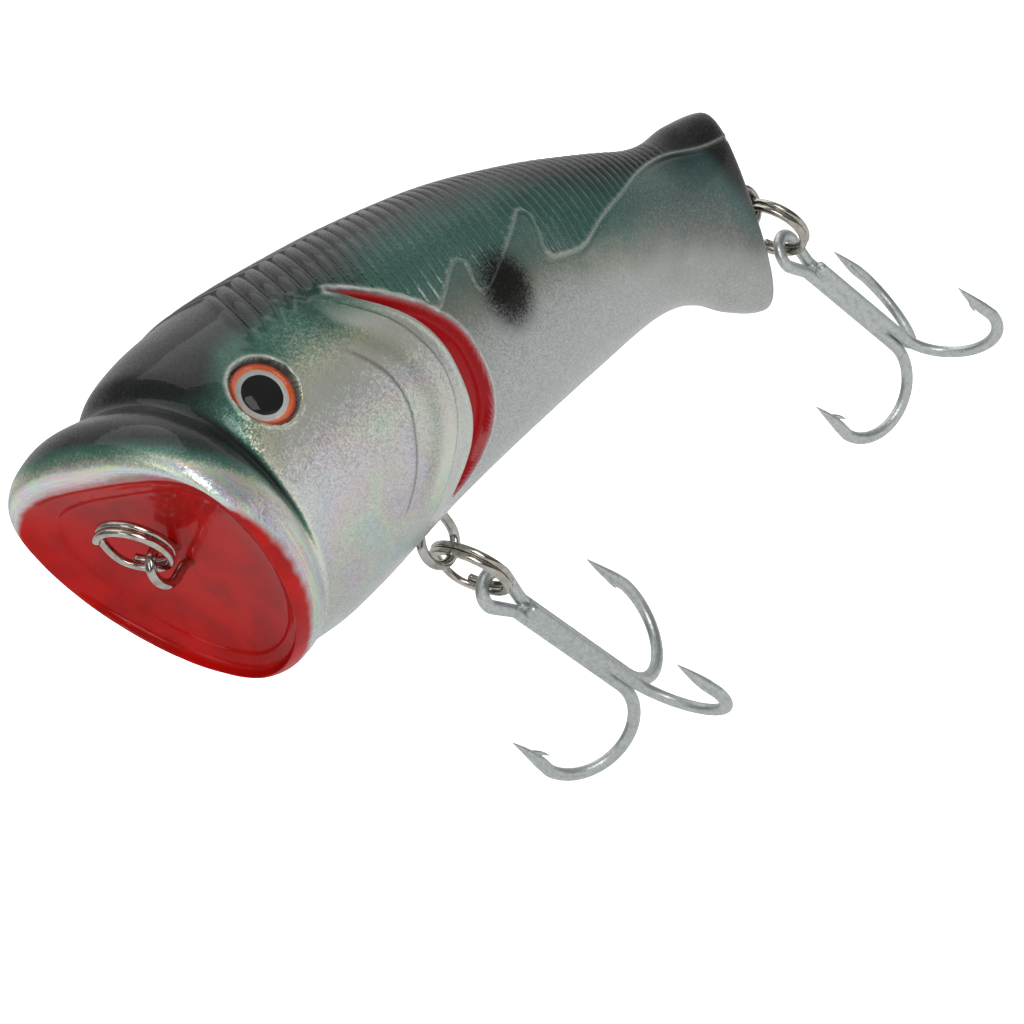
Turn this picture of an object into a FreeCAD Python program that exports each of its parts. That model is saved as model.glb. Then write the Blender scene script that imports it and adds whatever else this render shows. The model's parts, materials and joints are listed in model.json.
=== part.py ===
import FreeCAD, Part
import math
import os

# Topwater popper, built the way the lure is moulded and rigged: two hollow plastic half shells
# meeting on the centre plane, three bent wire hangers trapped between them, weights and a rattle
# ball inside, glued eyes, three split rings and two treble hooks.
# Lure datum: nose towards -X, tail towards +X, back towards +Z, left flank towards -Y, and x = 0
# where the mouth plane crosses z = 0. Every piece is placed so that the row's origin is the
# centre of the nose split ring. All sizes are in millimetres and live in the sheet.

os.makedirs("parts", exist_ok=True)
doc = FreeCAD.newDocument("topwater_popper")
V = FreeCAD.Vector
Rotation = FreeCAD.Rotation
sheet = doc.addObject("Spreadsheet::Sheet", "sizes")
next_row = [1]


def put(name, value):
    cell = "B%d" % next_row[0]
    sheet.set("A%d" % next_row[0], name)
    sheet.set(cell, str(value))
    sheet.setAlias(cell, name)
    next_row[0] += 1


# Sections of the body from the mouth to the tail: x where the section crosses z = 0, how far it
# leans, the height where it is widest, its top, bottom and half width, and how square its upper
# and lower halves are (2 is an ellipse).
SECTION_KEYS = ("x", "lean", "widest", "top", "bottom", "half", "square_up", "square_low")
SECTIONS = {
    "crest": (-0.1, -0.47, -2.0, 8.8, -24.6, 19.6, 3.2, 1.78),
    "lipfront": (-1.6, -0.47, -1.5, 11.4, -25.3, 20.6, 2.8, 1.78),
    "lipouter": (0.6, -0.45, -1.0, 14.8, -25.8, 21.4, 2.5, 1.8),
    "lipback": (5.0, -0.38, -1.0, 17.0, -25.3, 20.8, 2.3, 1.85),
    "crease": (9.0, -0.30, -1.0, 17.0, -24.6, 19.0, 2.2, 1.9),
    "brow": (12.5, -0.24, -0.5, 20.2, -24.3, 19.0, 2.2, 2.0),
    "cheek": (19.0, -0.14, 0.0, 22.8, -24.0, 19.3, 2.2, 2.1),
    "gillfront": (30.0, -0.05, 0.5, 24.4, -22.2, 19.5, 2.2, 2.2),
    "shoulder": (49.0, 0.0, 2.0, 25.1, -18.3, 18.7, 2.2, 2.2),
    "waist": (70.0, 0.0, 3.0, 24.3, -15.2, 16.8, 2.2, 2.2),
    "flank": (91.0, 0.0, 3.0, 21.2, -12.9, 13.2, 2.2, 2.2),
    "stalk": (112.0, 0.0, 2.0, 16.2, -11.1, 9.3, 2.2, 2.2),
    "wrist": (123.2, 0.0, 0.0, 13.4, -12.5, 7.1, 2.2, 2.2),
    "finroot": (131.6, 0.0, -1.5, 14.4, -17.2, 6.1, 2.3, 2.3),
    "finedge": (139.4, 0.0, -3.0, 14.0, -19.8, 5.0, 2.8, 2.6),
    "finend": (141.0, 0.0, -3.0, 13.0, -18.8, 3.8, 2.8, 2.6),
}
for section_name in SECTIONS:
    for key, value in zip(SECTION_KEYS, SECTIONS[section_name]):
        put(section_name + "_" + key, value)

DRIVING = {
    # shell walls and the dished mouth
    "wall": 2.4,
    "cavity_front": 26.0,
    "cavity_back": 114.0,
    "cup_depth": 3.2,
    # wire hangers
    "wire_dia": 1.5,
    "wire_slack": 0.06,
    "foot_len": 3.6,
    "nose_loop_x": 1.7,
    "nose_loop_z": -4.8,
    "nose_loop_r": 2.6,
    "nose_leg_end": 15.0,
    "belly_loop_x": 51.4,
    "belly_loop_z": -23.0,
    "belly_loop_r": 3.6,
    "belly_leg_end": -13.0,
    "tail_loop_x": 144.1,
    "tail_loop_z": -3.6,
    "tail_loop_r": 3.0,
    "tail_leg_end": 129.0,
    # split rings: mean radius, wire size, where each ring's near side hangs, and which way
    "ring_wire": 0.95,
    "ring_pitch": 1.02,
    "nose_ring_r": 5.05,
    "nose_hang_x": 1.2,
    "nose_hang_z": -4.45,
    "nose_ring_tilt": 50.0,
    "belly_ring_r": 6.0,
    "belly_hang_x": 52.2,
    "belly_hang_z": -24.1,
    "belly_ring_tilt": 53.0,
    "tail_ring_r": 6.0,
    "tail_hang_x": 145.2,
    "tail_hang_z": -3.6,
    "tail_ring_tilt": 57.0,
    # treble hooks
    "hook_wire": 2.0,
    "shank_offset": 1.18,
    "hook_length": 39.0,
    "bend_r": 8.6,
    "eye_ring_r": 2.7,
    "eye_neck": 6.0,
    "point_height": 17.0,
    "spear_len": 6.8,
    "spear_lean": 6.0,
    "spear_tip_r": 0.08,
    "barb_len": 2.8,
    "barb_r": 0.7,
    "barb_inset": 0.7,
    "braze_r": 2.05,
    "braze_start": 7.0,
    "braze_end": 27.0,
    "front_hook_lean": 39.6,
    "front_hook_spin": -10.0,
    "rear_hook_lean": 40.7,
    "rear_hook_spin": 7.0,
    # glued eyes
    "eye_x": 14.7,
    "eye_y": 16.3,
    "eye_z": 12.9,
    "eye_pitch": 27.6,
    "eye_yaw": 8.4,
    "eye_socket_dia": 9.8,
    "eye_socket_depth": 2.4,
    "eye_foil_dia": 9.6,
    "eye_foil_thick": 0.4,
    "eye_dome_dia": 9.4,
    "eye_dome_rise": 2.6,
    # gill slit recessed in each flank
    "gill_depth": 1.2,
    # weights and the rattle
    "belly_weight_dia": 9.0,
    "belly_weight_len": 20.0,
    "belly_weight_x": 64.0,
    "belly_weight_z": -6.6,
    "tail_weight_dia": 7.0,
    "tail_weight_len": 12.0,
    "tail_weight_x": 113.0,
    "tail_weight_z": 1.0,
    "rattle_dia": 5.0,
    "rattle_bore": 5.6,
    "rattle_run": 8.0,
    "rattle_x": 90.0,
    "rattle_z": 3.0,
    "fit_gap": 0.05,
    # locating pins moulded on the left half
    "pin_dia": 2.4,
    "pin_reach": 3.0,
    "pin_root": 2.0,
    "pin_gap": 0.05,
}
for name in DRIVING:
    put(name, DRIVING[name])
doc.recompute()


def size(name):
    return float(sheet.get(name))


def part(kind, name, bindings=None, base=(0, 0, 0), turn=None):
    made = doc.addObject(kind, name)
    made.Placement = FreeCAD.Placement(V(*base), turn or Rotation())
    for prop, rule in (bindings or {}).items():
        made.setExpression(prop, rule)
    return made


def join(name, pieces):
    made = doc.addObject("Part::MultiFuse", name)
    made.Shapes = pieces
    return made


def cut(name, base, tool):
    made = doc.addObject("Part::Cut", name)
    made.Base = base
    made.Tool = tool
    return made


# The row's origin, seen from the lure datum: the centre of the nose ring.
tilt = math.radians(size("nose_ring_tilt"))
ORIGIN = V(size("nose_hang_x") - size("nose_ring_r") * math.cos(tilt), 0,
           size("nose_hang_z") + size("nose_ring_r") * math.sin(tilt))


# ---------------------------------------------------------------- body form

RING_POINTS = 24


def section_wire(x, lean, widest, top, bottom, half, square_up, square_low):
    # closed section, starting at the top of the back
    points = []
    for i in range(RING_POINTS):
        angle = math.pi / 2 - 2 * math.pi * i / RING_POINTS
        c = math.cos(angle)
        s = math.sin(angle)
        n = square_up if s >= 0 else square_low
        reach = (abs(c) ** n + abs(s) ** n) ** (-1.0 / n)
        height = top - widest if s >= 0 else widest - bottom
        z = widest + height * s * reach
        points.append(V(x + lean * z, half * c * reach, z))
    curve = Part.BSplineCurve()
    curve.interpolate(Points=points, PeriodicFlag=True)
    return Part.Wire([curve.toShape()])


def section_values(name):
    return [size(name + "_" + key) for key in SECTION_KEYS]


def loft(name, wires):
    made = doc.addObject("Part::Feature", name)
    made.Shape = Part.makeLoft(wires, True, False)
    return made


def body_form():
    return loft("body_form", [section_wire(*section_values(name)) for name in SECTIONS])


def mouth_cup():
    # the dish, as slices parallel to the mouth that shrink towards its floor
    x, lean, widest, top, bottom, half, up, low = section_values("crest")
    middle = (top + bottom) / 2
    depth = size("cup_depth")
    wires = []
    for along, scale in ((-0.25, 1.0), (0.0, 0.99), (0.3, 0.93), (0.62, 0.80), (0.85, 0.60), (1.0, 0.30)):
        wires.append(section_wire(x + depth * along, lean, middle + (widest - middle) * scale,
                                  middle + (top - middle) * scale, middle + (bottom - middle) * scale,
                                  half * scale, up, low))
    return loft("mouth_cup", wires)


def inset_form(name, inset):
    # the body's own sections moved inwards, between the two ends of the hollow
    rows = [section_values(n) for n in ("gillfront", "shoulder", "waist", "flank", "stalk")]
    rows[0][0] = size("cavity_front")
    rows[-1][0] = size("cavity_back")
    wires = []
    for x, lean, widest, top, bottom, half, up, low in rows:
        wires.append(section_wire(x, 0.0, widest, top - inset, bottom + inset, half - inset, up, low))
    return loft(name, wires)


def gill_blade(name, side):
    # crescent outline seen from the side: front edge then rear edge, top tip to bottom tip
    front = [V(36.0, 0, 19.2), V(44.9, 0, 10.8), V(47.9, 0, 0.4), V(46.9, 0, -7.3), V(42.4, 0, -14.0)]
    rear = [V(36.0, 0, 19.2), V(48.1, 0, 11.4), V(53.0, 0, 1.0), V(51.4, 0, -8.0), V(42.4, 0, -14.0)]
    edges = []
    for points in (front, rear):
        curve = Part.BSplineCurve()
        curve.interpolate(points)
        edges.append(curve.toShape())
    face = Part.Face(Part.Wire(Part.sortEdges(edges)[0]))
    made = doc.addObject("Part::Feature", name)
    made.Shape = face.extrude(V(0, side * 30, 0))
    return made


# ---------------------------------------------------------------- bent wire

def swept(name, edges, dia_rule, frenet=False):
    path = doc.addObject("Part::Feature", name + "_path")
    path.Shape = Part.Wire(edges)
    first = path.Shape.Edges[0]
    start = first.valueAt(first.FirstParameter)
    heading = first.tangentAt(first.FirstParameter)
    section = part("Part::Circle", name + "_section", {"Radius": dia_rule})
    section.Placement = FreeCAD.Placement(start, Rotation(V(0, 0, 1), heading))
    made = doc.addObject("Part::Sweep", name)
    made.Sections = [section]
    made.Spine = (path, ["Edge%d" % (i + 1) for i in range(len(path.Shape.Edges))])
    made.Solid = True
    made.Frenet = frenet
    return made


def line(a, b):
    return Part.LineSegment(a, b).toShape()


def arc(a, b, c):
    return Part.Arc(a, b, c).toShape()


def hanger_edges(loop_x, loop_z, loop_r, leg_end, out, foot):
    # U of wire in the centre plane; out is the unit direction from the legs towards the loop, and
    # the feet turn away from each other at the far end of the legs
    centre = V(loop_x, 0, loop_z)
    across = V(-out.z, 0, out.x)
    leg = abs(leg_end - (loop_x if abs(out.x) > 0.5 else loop_z))
    bend = 1.2
    k = bend * (1 - math.sqrt(0.5))
    edges = []
    a = centre - out * leg + across * (loop_r + bend)
    b = centre - out * (leg - bend) + across * loop_r
    mid = centre - out * (leg - k) + across * (loop_r + k)
    edges.append(line(a + across * foot, a))
    edges.append(arc(a, mid, b))
    edges.append(line(b, centre + across * loop_r))
    edges.append(arc(centre + across * loop_r, centre + out * loop_r, centre - across * loop_r))
    a = centre - out * leg - across * (loop_r + bend)
    b = centre - out * (leg - bend) - across * loop_r
    mid = centre - out * (leg - k) - across * (loop_r + k)
    edges.append(line(centre - across * loop_r, b))
    edges.append(arc(b, mid, a))
    edges.append(line(a, a - across * foot))
    return edges


HANGERS = {
    "line_tie_hanger": ("nose", V(-1, 0, 0)),
    "belly_hanger": ("belly", V(0, 0, -1)),
    "tail_hanger": ("tail", V(1, 0, 0)),
}
hangers = {}
channels = []
for name in HANGERS:
    where, out = HANGERS[name]
    values = [size(where + "_" + k) for k in ("loop_x", "loop_z", "loop_r", "leg_end")]
    hangers[name] = swept(name, hanger_edges(*values, out, size("foot_len")), "sizes.wire_dia / 2")
    channels.append(swept(where + "_wire_channel", hanger_edges(*values, out, size("foot_len") + 0.1),
                          "sizes.wire_dia / 2 + sizes.wire_slack"))


# ---------------------------------------------------------------- weights and rattle

def rod_x(name, dia_rule, length_rule, x_rule, z_rule):
    made = part("Part::Cylinder", name, {"Radius": dia_rule, "Height": length_rule},
                turn=Rotation(V(0, 1, 0), 90))
    made.setExpression("Placement.Base.x", x_rule)
    made.setExpression("Placement.Base.z", z_rule)
    return made


belly_weight = rod_x("belly_ballast", "sizes.belly_weight_dia / 2", "sizes.belly_weight_len",
                     "sizes.belly_weight_x", "sizes.belly_weight_z")
tail_weight = rod_x("tail_ballast", "sizes.tail_weight_dia / 2", "sizes.tail_weight_len",
                    "sizes.tail_weight_x", "sizes.tail_weight_z")
rattle = part("Part::Sphere", "rattle_ball", {"Radius": "sizes.rattle_dia / 2"})
rattle.setExpression("Placement.Base.x", "sizes.rattle_x + sizes.rattle_dia / 2 + 0.3")
rattle.setExpression("Placement.Base.z", "sizes.rattle_z")


# ---------------------------------------------------------------- half shells

PINS = {"nose_top": (19.5, 15.0), "nose_low": (19.0, -18.0), "back": (67.0, 17.5), "tail": (120.0, -6.5)}
# blocks left standing inside the hollow: x, z, length, height, width
BLOCKS = {
    "hanger_block": (44.5, -25.0, 13.5, 17.0, 14.0),
    "weight_cradle": (62.5, -20.0, 23.0, 17.5, 14.0),
    "rattle_box": (88.0, -14.0, 18.0, 21.5, 10.0),
    "pin_post": (64.5, 13.0, 5.0, 14.0, 10.0),
}
SIDES = {"left": -1, "right": 1}


def spare_block(name):
    x, z, length, height, width = BLOCKS[name]
    made = part("Part::Box", name, base=(x, -width / 2, z))
    made.Length = length
    made.Width = width
    made.Height = height
    return made


def removed_from_both():
    # hollow, dish, wire channels and weight pockets, which run across the parting plane
    blocks = [spare_block(name) for name in BLOCKS]
    hollow = cut("hollow", inset_form("hollow_form", size("wall")), join("blocks_left_standing", blocks))
    pockets = [
        rod_x("belly_pocket", "sizes.belly_weight_dia / 2 + sizes.fit_gap",
              "sizes.belly_weight_len + 2 * sizes.fit_gap",
              "sizes.belly_weight_x - sizes.fit_gap", "sizes.belly_weight_z"),
        rod_x("tail_pocket", "sizes.tail_weight_dia / 2 + sizes.fit_gap",
              "sizes.tail_weight_len + 2 * sizes.fit_gap",
              "sizes.tail_weight_x - sizes.fit_gap", "sizes.tail_weight_z"),
        rod_x("rattle_bore", "sizes.rattle_bore / 2",
              "sizes.rattle_run + sizes.rattle_dia + 0.6", "sizes.rattle_x", "sizes.rattle_z"),
    ]
    return [hollow, mouth_cup()] + pockets + channels


def pin_row(side_name, dia_rule, start_rule, length_rule):
    pins = []
    for pin in PINS:
        made = part("Part::Cylinder", "%s_%s_pin" % (side_name, pin),
                    {"Radius": dia_rule, "Height": length_rule},
                    base=(PINS[pin][0], 0, PINS[pin][1]), turn=Rotation(V(1, 0, 0), -90))
        made.setExpression("Placement.Base.y", start_rule)
        pins.append(made)
    return pins


def eye_turn(side):
    # turns local +Z to the flank's outward direction at the eye
    pitch = math.radians(size("eye_pitch"))
    yaw = math.radians(size("eye_yaw"))
    outward = V(-math.sin(yaw) * math.cos(pitch), side * math.cos(yaw) * math.cos(pitch), math.sin(pitch))
    return Rotation(V(0, 0, 1), outward), outward


def half_shell(side_name):
    side = SIDES[side_name]
    slab = part("Part::Box", side_name + "_slab", {
        "Length": "200", "Width": "40", "Height": "80"}, base=(-20, min(0, 40 * side), -40))
    half = doc.addObject("Part::Common", side_name + "_half_form")
    half.Base = form
    half.Tool = slab

    turn, outward = eye_turn(side)
    socket = part("Part::Cylinder", side_name + "_eye_socket", {
        "Radius": "sizes.eye_socket_dia / 2", "Height": "sizes.eye_socket_depth + 6"}, turn=turn)
    seat = V(size("eye_x"), side * size("eye_y"), size("eye_z")) - outward * size("eye_socket_depth")
    socket.Placement.Base = seat
    gill = cut(side_name + "_gill_slit", gill_blade(side_name + "_gill_blade", side), gill_floor)
    tools = common_tools + [socket, gill]
    if side_name == "right":
        tools = tools + pin_row(side_name, "sizes.pin_dia / 2 + sizes.pin_gap", "-0.5",
                                "sizes.pin_reach + sizes.pin_gap + 0.5")
    removed = join(side_name + "_removed", tools)
    if side_name == "right":
        return cut("right_body_shell", half, removed)
    moulded = cut("left_moulded_half", half, removed)
    pins = pin_row(side_name, "sizes.pin_dia / 2", "-sizes.pin_root", "sizes.pin_reach + sizes.pin_root")
    return join("left_body_shell", [moulded] + pins)


form = body_form()
gill_floor = inset_form("gill_floor", size("gill_depth"))
common_tools = removed_from_both()
shells = {name: half_shell(name) for name in SIDES}


# ---------------------------------------------------------------- eyes

eyes = []
for side_name in SIDES:
    side = SIDES[side_name]
    turn, outward = eye_turn(side)
    seat = V(size("eye_x"), side * size("eye_y"), size("eye_z")) - outward * size("eye_socket_depth")
    foil = part("Part::Cylinder", side_name + "_eye_foil", {
        "Radius": "sizes.eye_foil_dia / 2", "Height": "sizes.eye_foil_thick"}, turn=turn)
    foil.Placement.Base = seat + outward * 0.02
    dome_r = (size("eye_dome_dia") ** 2 / 4 + size("eye_dome_rise") ** 2) / (2 * size("eye_dome_rise"))
    dome = part("Part::Sphere", side_name + "_eye_dome", {
        "Radius": "(sizes.eye_dome_dia ^ 2 / 4 + sizes.eye_dome_rise ^ 2) / (2 * sizes.eye_dome_rise)"}, turn=turn)
    dome.Angle1 = math.degrees(math.asin((dome_r - size("eye_dome_rise")) / dome_r))
    rise_to_centre = size("eye_foil_thick") + 0.04 - (dome_r - size("eye_dome_rise"))
    dome.Placement.Base = seat + outward * rise_to_centre
    eyes += [foil, dome]


# ---------------------------------------------------------------- split rings

RING_TURNS = 2
POINTS_PER_TURN = 16


def split_ring(name, radius_key):
    # two turns of wire lying on each other round local +Z, both ends at local +X
    points = []
    for i in range(RING_TURNS * POINTS_PER_TURN + 1):
        turn = i / POINTS_PER_TURN
        angle = 2 * math.pi * turn
        points.append(V(size(radius_key) * math.cos(angle), size(radius_key) * math.sin(angle),
                        size("ring_pitch") * (turn - RING_TURNS / 2)))
    curve = Part.BSplineCurve()
    curve.interpolate(points)
    return swept(name, [curve.toShape()], "sizes.ring_wire / 2")


def hang(where):
    # unit direction in the centre plane from the near side of a ring to its far side
    angle = math.radians(size(where + "_ring_tilt"))
    if where == "nose":
        return V(-math.cos(angle), 0, math.sin(angle))
    return V(math.cos(angle), 0, -math.sin(angle))


rings = {}
ring_far = {}
for where in ("nose", "belly", "tail"):
    name = where + "_split_ring"
    made = split_ring(name, where + "_ring_r")
    near = V(size(where + "_hang_x"), 0, size(where + "_hang_z"))
    along = hang(where)
    radius = size(where + "_ring_r")
    across = V(0, 1, 0)
    normal = along.cross(across)
    frame = FreeCAD.Matrix(across.x, -along.x, normal.x, 0, across.y, -along.y, normal.y, 0,
                           across.z, -along.z, normal.z, 0, 0, 0, 0, 1)
    made.Placement = FreeCAD.Placement(near + along * radius, FreeCAD.Placement(frame).Rotation)
    rings[where] = made
    ring_far[where] = near + along * radius * 2


# ---------------------------------------------------------------- treble hooks
# Hook space: origin in the hook's eye, shank down -Z, eye in the XZ plane.

def polar(radius, degrees, z):
    angle = math.radians(degrees)
    return V(radius * math.cos(angle), radius * math.sin(angle), z)


def hook_leg(name, degrees):
    r = size("shank_offset")
    bend = size("bend_r")
    straight = -(size("hook_length") - bend)
    top = polar(r, degrees, -size("eye_neck"))
    a = polar(r, degrees, straight)
    b = polar(r + bend, degrees, straight - bend)
    lean = math.radians(size("spear_lean"))
    c = polar(r + bend + bend * math.cos(lean), degrees, straight + bend * math.sin(lean))
    toward = polar(-math.sin(lean), degrees, math.cos(lean))
    tip = c + toward * ((size("point_height") - size("hook_length") - c.z) / math.cos(lean))
    neck = tip - toward * size("spear_len")
    leg = swept(name + "_wire", [line(top, a), arc(a, b, c), line(c, neck)], "sizes.hook_wire / 2")
    aim = Rotation(V(0, 0, 1), toward)
    spear = part("Part::Cone", name + "_spear", {
        "Radius1": "sizes.hook_wire / 2", "Radius2": "sizes.spear_tip_r", "Height": "sizes.spear_len"},
        base=tuple(neck), turn=aim)
    inward = polar(-1, degrees, 0)
    barb_base = neck + inward * size("barb_inset") - toward * 0.2
    barb = part("Part::Cone", name + "_barb", {
        "Radius1": "sizes.barb_r", "Radius2": "sizes.spear_tip_r", "Height": "sizes.barb_len"},
        base=tuple(barb_base), turn=aim)
    return [leg, spear, barb]


def hook_eye(name):
    r = size("eye_ring_r")
    x = size("shank_offset") * math.cos(math.radians(30))
    y = size("shank_offset") * math.sin(math.radians(30))
    neck = size("eye_neck")
    points = [V(-x, y, -neck), V(-x * 1.05, y, -neck + 1.0)]
    for degrees in (205, 180, 135, 90, 45, 0, -25):
        angle = math.radians(degrees)
        points.append(V(r * math.cos(angle), y, r * math.sin(angle)))
    points += [V(x * 1.05, y, -neck + 1.0), V(x, y, -neck)]
    curve = Part.BSplineCurve()
    curve.interpolate(Points=points, InitialTangent=V(0, 0, 1), FinalTangent=V(0, 0, -1))
    return swept(name + "_eye", [curve.toShape()], "sizes.hook_wire / 2")


hooks = {}
for where in ("front", "rear"):
    pair = hook_leg(where + "_hook_a", 150) + hook_leg(where + "_hook_b", 30)
    hooks[where + "_double_hook"] = join(where + "_double_hook", pair + [hook_eye(where)])
    hooks[where + "_single_hook"] = join(where + "_single_hook", hook_leg(where + "_hook_c", 270))
    filler = part("Part::Cylinder", where + "_braze_filler", {
        "Radius": "sizes.braze_r", "Height": "sizes.braze_end - sizes.braze_start"})
    filler.setExpression("Placement.Base.z", "-sizes.braze_end")
    shanks = []
    for degrees in (30, 150, 270):
        shank = part("Part::Cylinder", "%s_shank_%d" % (where, degrees), {
            "Radius": "sizes.hook_wire / 2 + 0.005", "Height": "sizes.hook_length"},
            base=tuple(polar(size("shank_offset"), degrees, -size("hook_length"))))
        shanks.append(shank)
    hooks[where + "_hook_braze"] = cut(where + "_hook_braze", filler, join(where + "_shanks", shanks))

EYE_SLACK = 0.35
hook_place = {}
for where, ring in (("front", "belly"), ("rear", "tail")):
    lean = size(where + "_hook_lean")
    turn = Rotation(V(0, 1, 0), -lean).multiply(Rotation(V(0, 0, 1), size(where + "_hook_spin")))
    down = turn.multVec(V(0, 0, -1))
    hook_place[where] = FreeCAD.Placement(ring_far[ring] + down * EYE_SLACK, turn)


# ---------------------------------------------------------------- placing and writing

doc.recompute()
nodes = {}
nodes.update({shell.Name: shell for shell in shells.values()})
nodes.update(hangers)
nodes.update({ring.Name: ring for ring in rings.values()})
nodes.update({eye.Name: eye for eye in eyes})
nodes.update(hooks)
nodes.update({"belly_ballast": belly_weight, "tail_ballast": tail_weight, "rattle_ball": rattle})

shift = FreeCAD.Placement(-ORIGIN, Rotation())
for name in nodes:
    node = nodes[name]
    local = node.Placement
    for where in hook_place:
        if name.startswith(where + "_"):
            local = hook_place[where]
    for rule in list(node.ExpressionEngine):
        if rule[0].startswith(".Placement") or rule[0].startswith("Placement"):
            node.setExpression(rule[0], None)
    node.Placement = shift.multiply(local)
    node.Label = name
doc.recompute()

for item in doc.Objects:
    if "Invalid" in item.State or "Error" in item.State:
        raise RuntimeError("feature failed: " + item.Name)
for name in nodes:
    shape = nodes[name].Shape
    if shape.isNull() or not shape.isValid() or shape.Volume <= 0:
        raise RuntimeError("bad solid: " + name)
    shape.exportStep("parts/%s.step" % name)
    box = shape.BoundBox
    print("%-18s %9.2f mm3  %d solid  x %.2f..%.2f  y %.2f..%.2f  z %.2f..%.2f" % (
        name, shape.Volume, len(shape.Solids), box.XMin, box.XMax, box.YMin, box.YMax, box.ZMin, box.ZMax))
print("row origin in lure datum", ORIGIN)
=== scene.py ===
import json
import math

import bmesh
import bpy
import numpy as np
from mathutils import Matrix, Vector
from mathutils.geometry import tessellate_polygon


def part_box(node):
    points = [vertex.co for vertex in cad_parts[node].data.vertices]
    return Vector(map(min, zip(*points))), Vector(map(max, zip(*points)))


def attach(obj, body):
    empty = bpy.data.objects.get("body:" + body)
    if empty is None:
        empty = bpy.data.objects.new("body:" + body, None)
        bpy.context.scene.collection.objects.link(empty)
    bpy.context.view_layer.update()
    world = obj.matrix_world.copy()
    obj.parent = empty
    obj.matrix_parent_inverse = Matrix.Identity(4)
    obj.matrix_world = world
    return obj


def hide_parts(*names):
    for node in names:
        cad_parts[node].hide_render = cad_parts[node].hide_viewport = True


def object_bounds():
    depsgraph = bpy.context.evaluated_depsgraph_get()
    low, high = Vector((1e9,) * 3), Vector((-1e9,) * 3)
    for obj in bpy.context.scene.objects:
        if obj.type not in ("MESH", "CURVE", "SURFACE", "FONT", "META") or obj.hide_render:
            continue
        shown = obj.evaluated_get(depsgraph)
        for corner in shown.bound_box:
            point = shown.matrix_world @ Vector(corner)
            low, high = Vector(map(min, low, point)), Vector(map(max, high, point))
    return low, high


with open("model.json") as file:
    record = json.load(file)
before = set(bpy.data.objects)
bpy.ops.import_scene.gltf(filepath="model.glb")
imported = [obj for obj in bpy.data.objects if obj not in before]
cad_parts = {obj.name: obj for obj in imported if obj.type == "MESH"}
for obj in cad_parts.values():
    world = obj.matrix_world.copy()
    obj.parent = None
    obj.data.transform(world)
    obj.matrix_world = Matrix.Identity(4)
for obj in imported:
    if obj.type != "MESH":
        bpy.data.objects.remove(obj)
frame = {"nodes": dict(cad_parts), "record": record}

# Looks of the topwater popper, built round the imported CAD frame. Lengths below are millimetres in
# the lure datum: nose towards -X, tail +X, back +Z, left flank -Y, and x = 0 where the mouth
# plane crosses z = 0. OFFSET moves the datum into the row frame.

cad_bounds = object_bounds()
MM = 0.001
JOINTS = {j["name"]: j for j in frame["record"]["behaviour"]["joints"]}
NOSE_HANG = np.array((1.2, 0.0, -4.45))
OFFSET = np.array(JOINTS["nose_ring_tilt"]["pos_m"]) / MM - NOSE_HANG


def smooth(low, high, value):
    t = np.clip((value - low) / (high - low), 0.0, 1.0)
    return t * t * (3.0 - 2.0 * t)


def bell(value, width):
    return np.exp(-(value / width) ** 2)


# ------------------------------------------------------------------ body surface

# x at z = 0, lean, widest height, top, bottom, half width, squareness above and below
STATIONS = np.array((
    (-0.1, -0.47, -2.0, 8.8, -24.6, 19.6, 3.2, 1.78),
    (-1.6, -0.47, -1.5, 11.4, -25.3, 20.6, 2.8, 1.78),
    (0.6, -0.45, -1.0, 14.8, -25.8, 21.4, 2.5, 1.8),
    (5.0, -0.38, -1.0, 17.0, -25.3, 20.8, 2.3, 1.85),
    (9.0, -0.30, -1.0, 17.0, -24.6, 19.0, 2.2, 1.9),
    (12.5, -0.24, -0.5, 20.2, -24.3, 19.0, 2.2, 2.0),
    (19.0, -0.14, 0.0, 22.8, -24.0, 19.3, 2.2, 2.1),
    (30.0, -0.05, 0.5, 24.4, -22.2, 19.5, 2.2, 2.2),
    (49.0, 0.0, 2.0, 25.1, -18.3, 18.7, 2.2, 2.2),
    (70.0, 0.0, 3.0, 24.3, -15.2, 16.8, 2.2, 2.2),
    (91.0, 0.0, 3.0, 21.2, -12.9, 13.2, 2.2, 2.2),
    (112.0, 0.0, 2.0, 16.2, -11.1, 9.3, 2.2, 2.2),
    (123.2, 0.0, 0.0, 13.4, -12.5, 7.1, 2.2, 2.2),
    (131.6, 0.0, -1.5, 14.4, -17.2, 6.1, 2.3, 2.3),
    (139.4, 0.0, -3.0, 14.0, -19.8, 5.0, 2.8, 2.6),
    (141.0, 0.0, -3.0, 13.0, -18.8, 3.8, 2.8, 2.6),
))
X, LEAN, WIDEST, TOP, BOTTOM, HALF, SQUARE_UP, SQUARE_LOW = range(8)
CUP_DEPTH = 3.2
# the dish from its middle to the rim: share of the rim's size, and share of the depth
CUP_PROFILE = ((0.02, 1.0), (0.3, 0.98), (0.6, 0.85), (0.8, 0.62), (0.93, 0.3), (0.985, 0.08))
# the tail's end face, from the last station inwards: share of its size, and x beyond it
TAIL_PROFILE = ((0.8, 0.45), (0.4, 0.7), (0.02, 0.75))


def scaled(row, share, dx):
    made = row.copy()
    middle = (row[TOP] + row[BOTTOM]) / 2
    for column in (WIDEST, TOP, BOTTOM):
        made[column] = middle + (row[column] - middle) * share
    made[HALF] = row[HALF] * share
    made[X] = row[X] + dx
    return made


def all_rows():
    rows = [scaled(STATIONS[0], share, depth * CUP_DEPTH) for share, depth in CUP_PROFILE]
    rows += list(STATIONS)
    rows += [scaled(STATIONS[-1], share, dx) for share, dx in TAIL_PROFILE]
    return np.array(rows)


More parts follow.
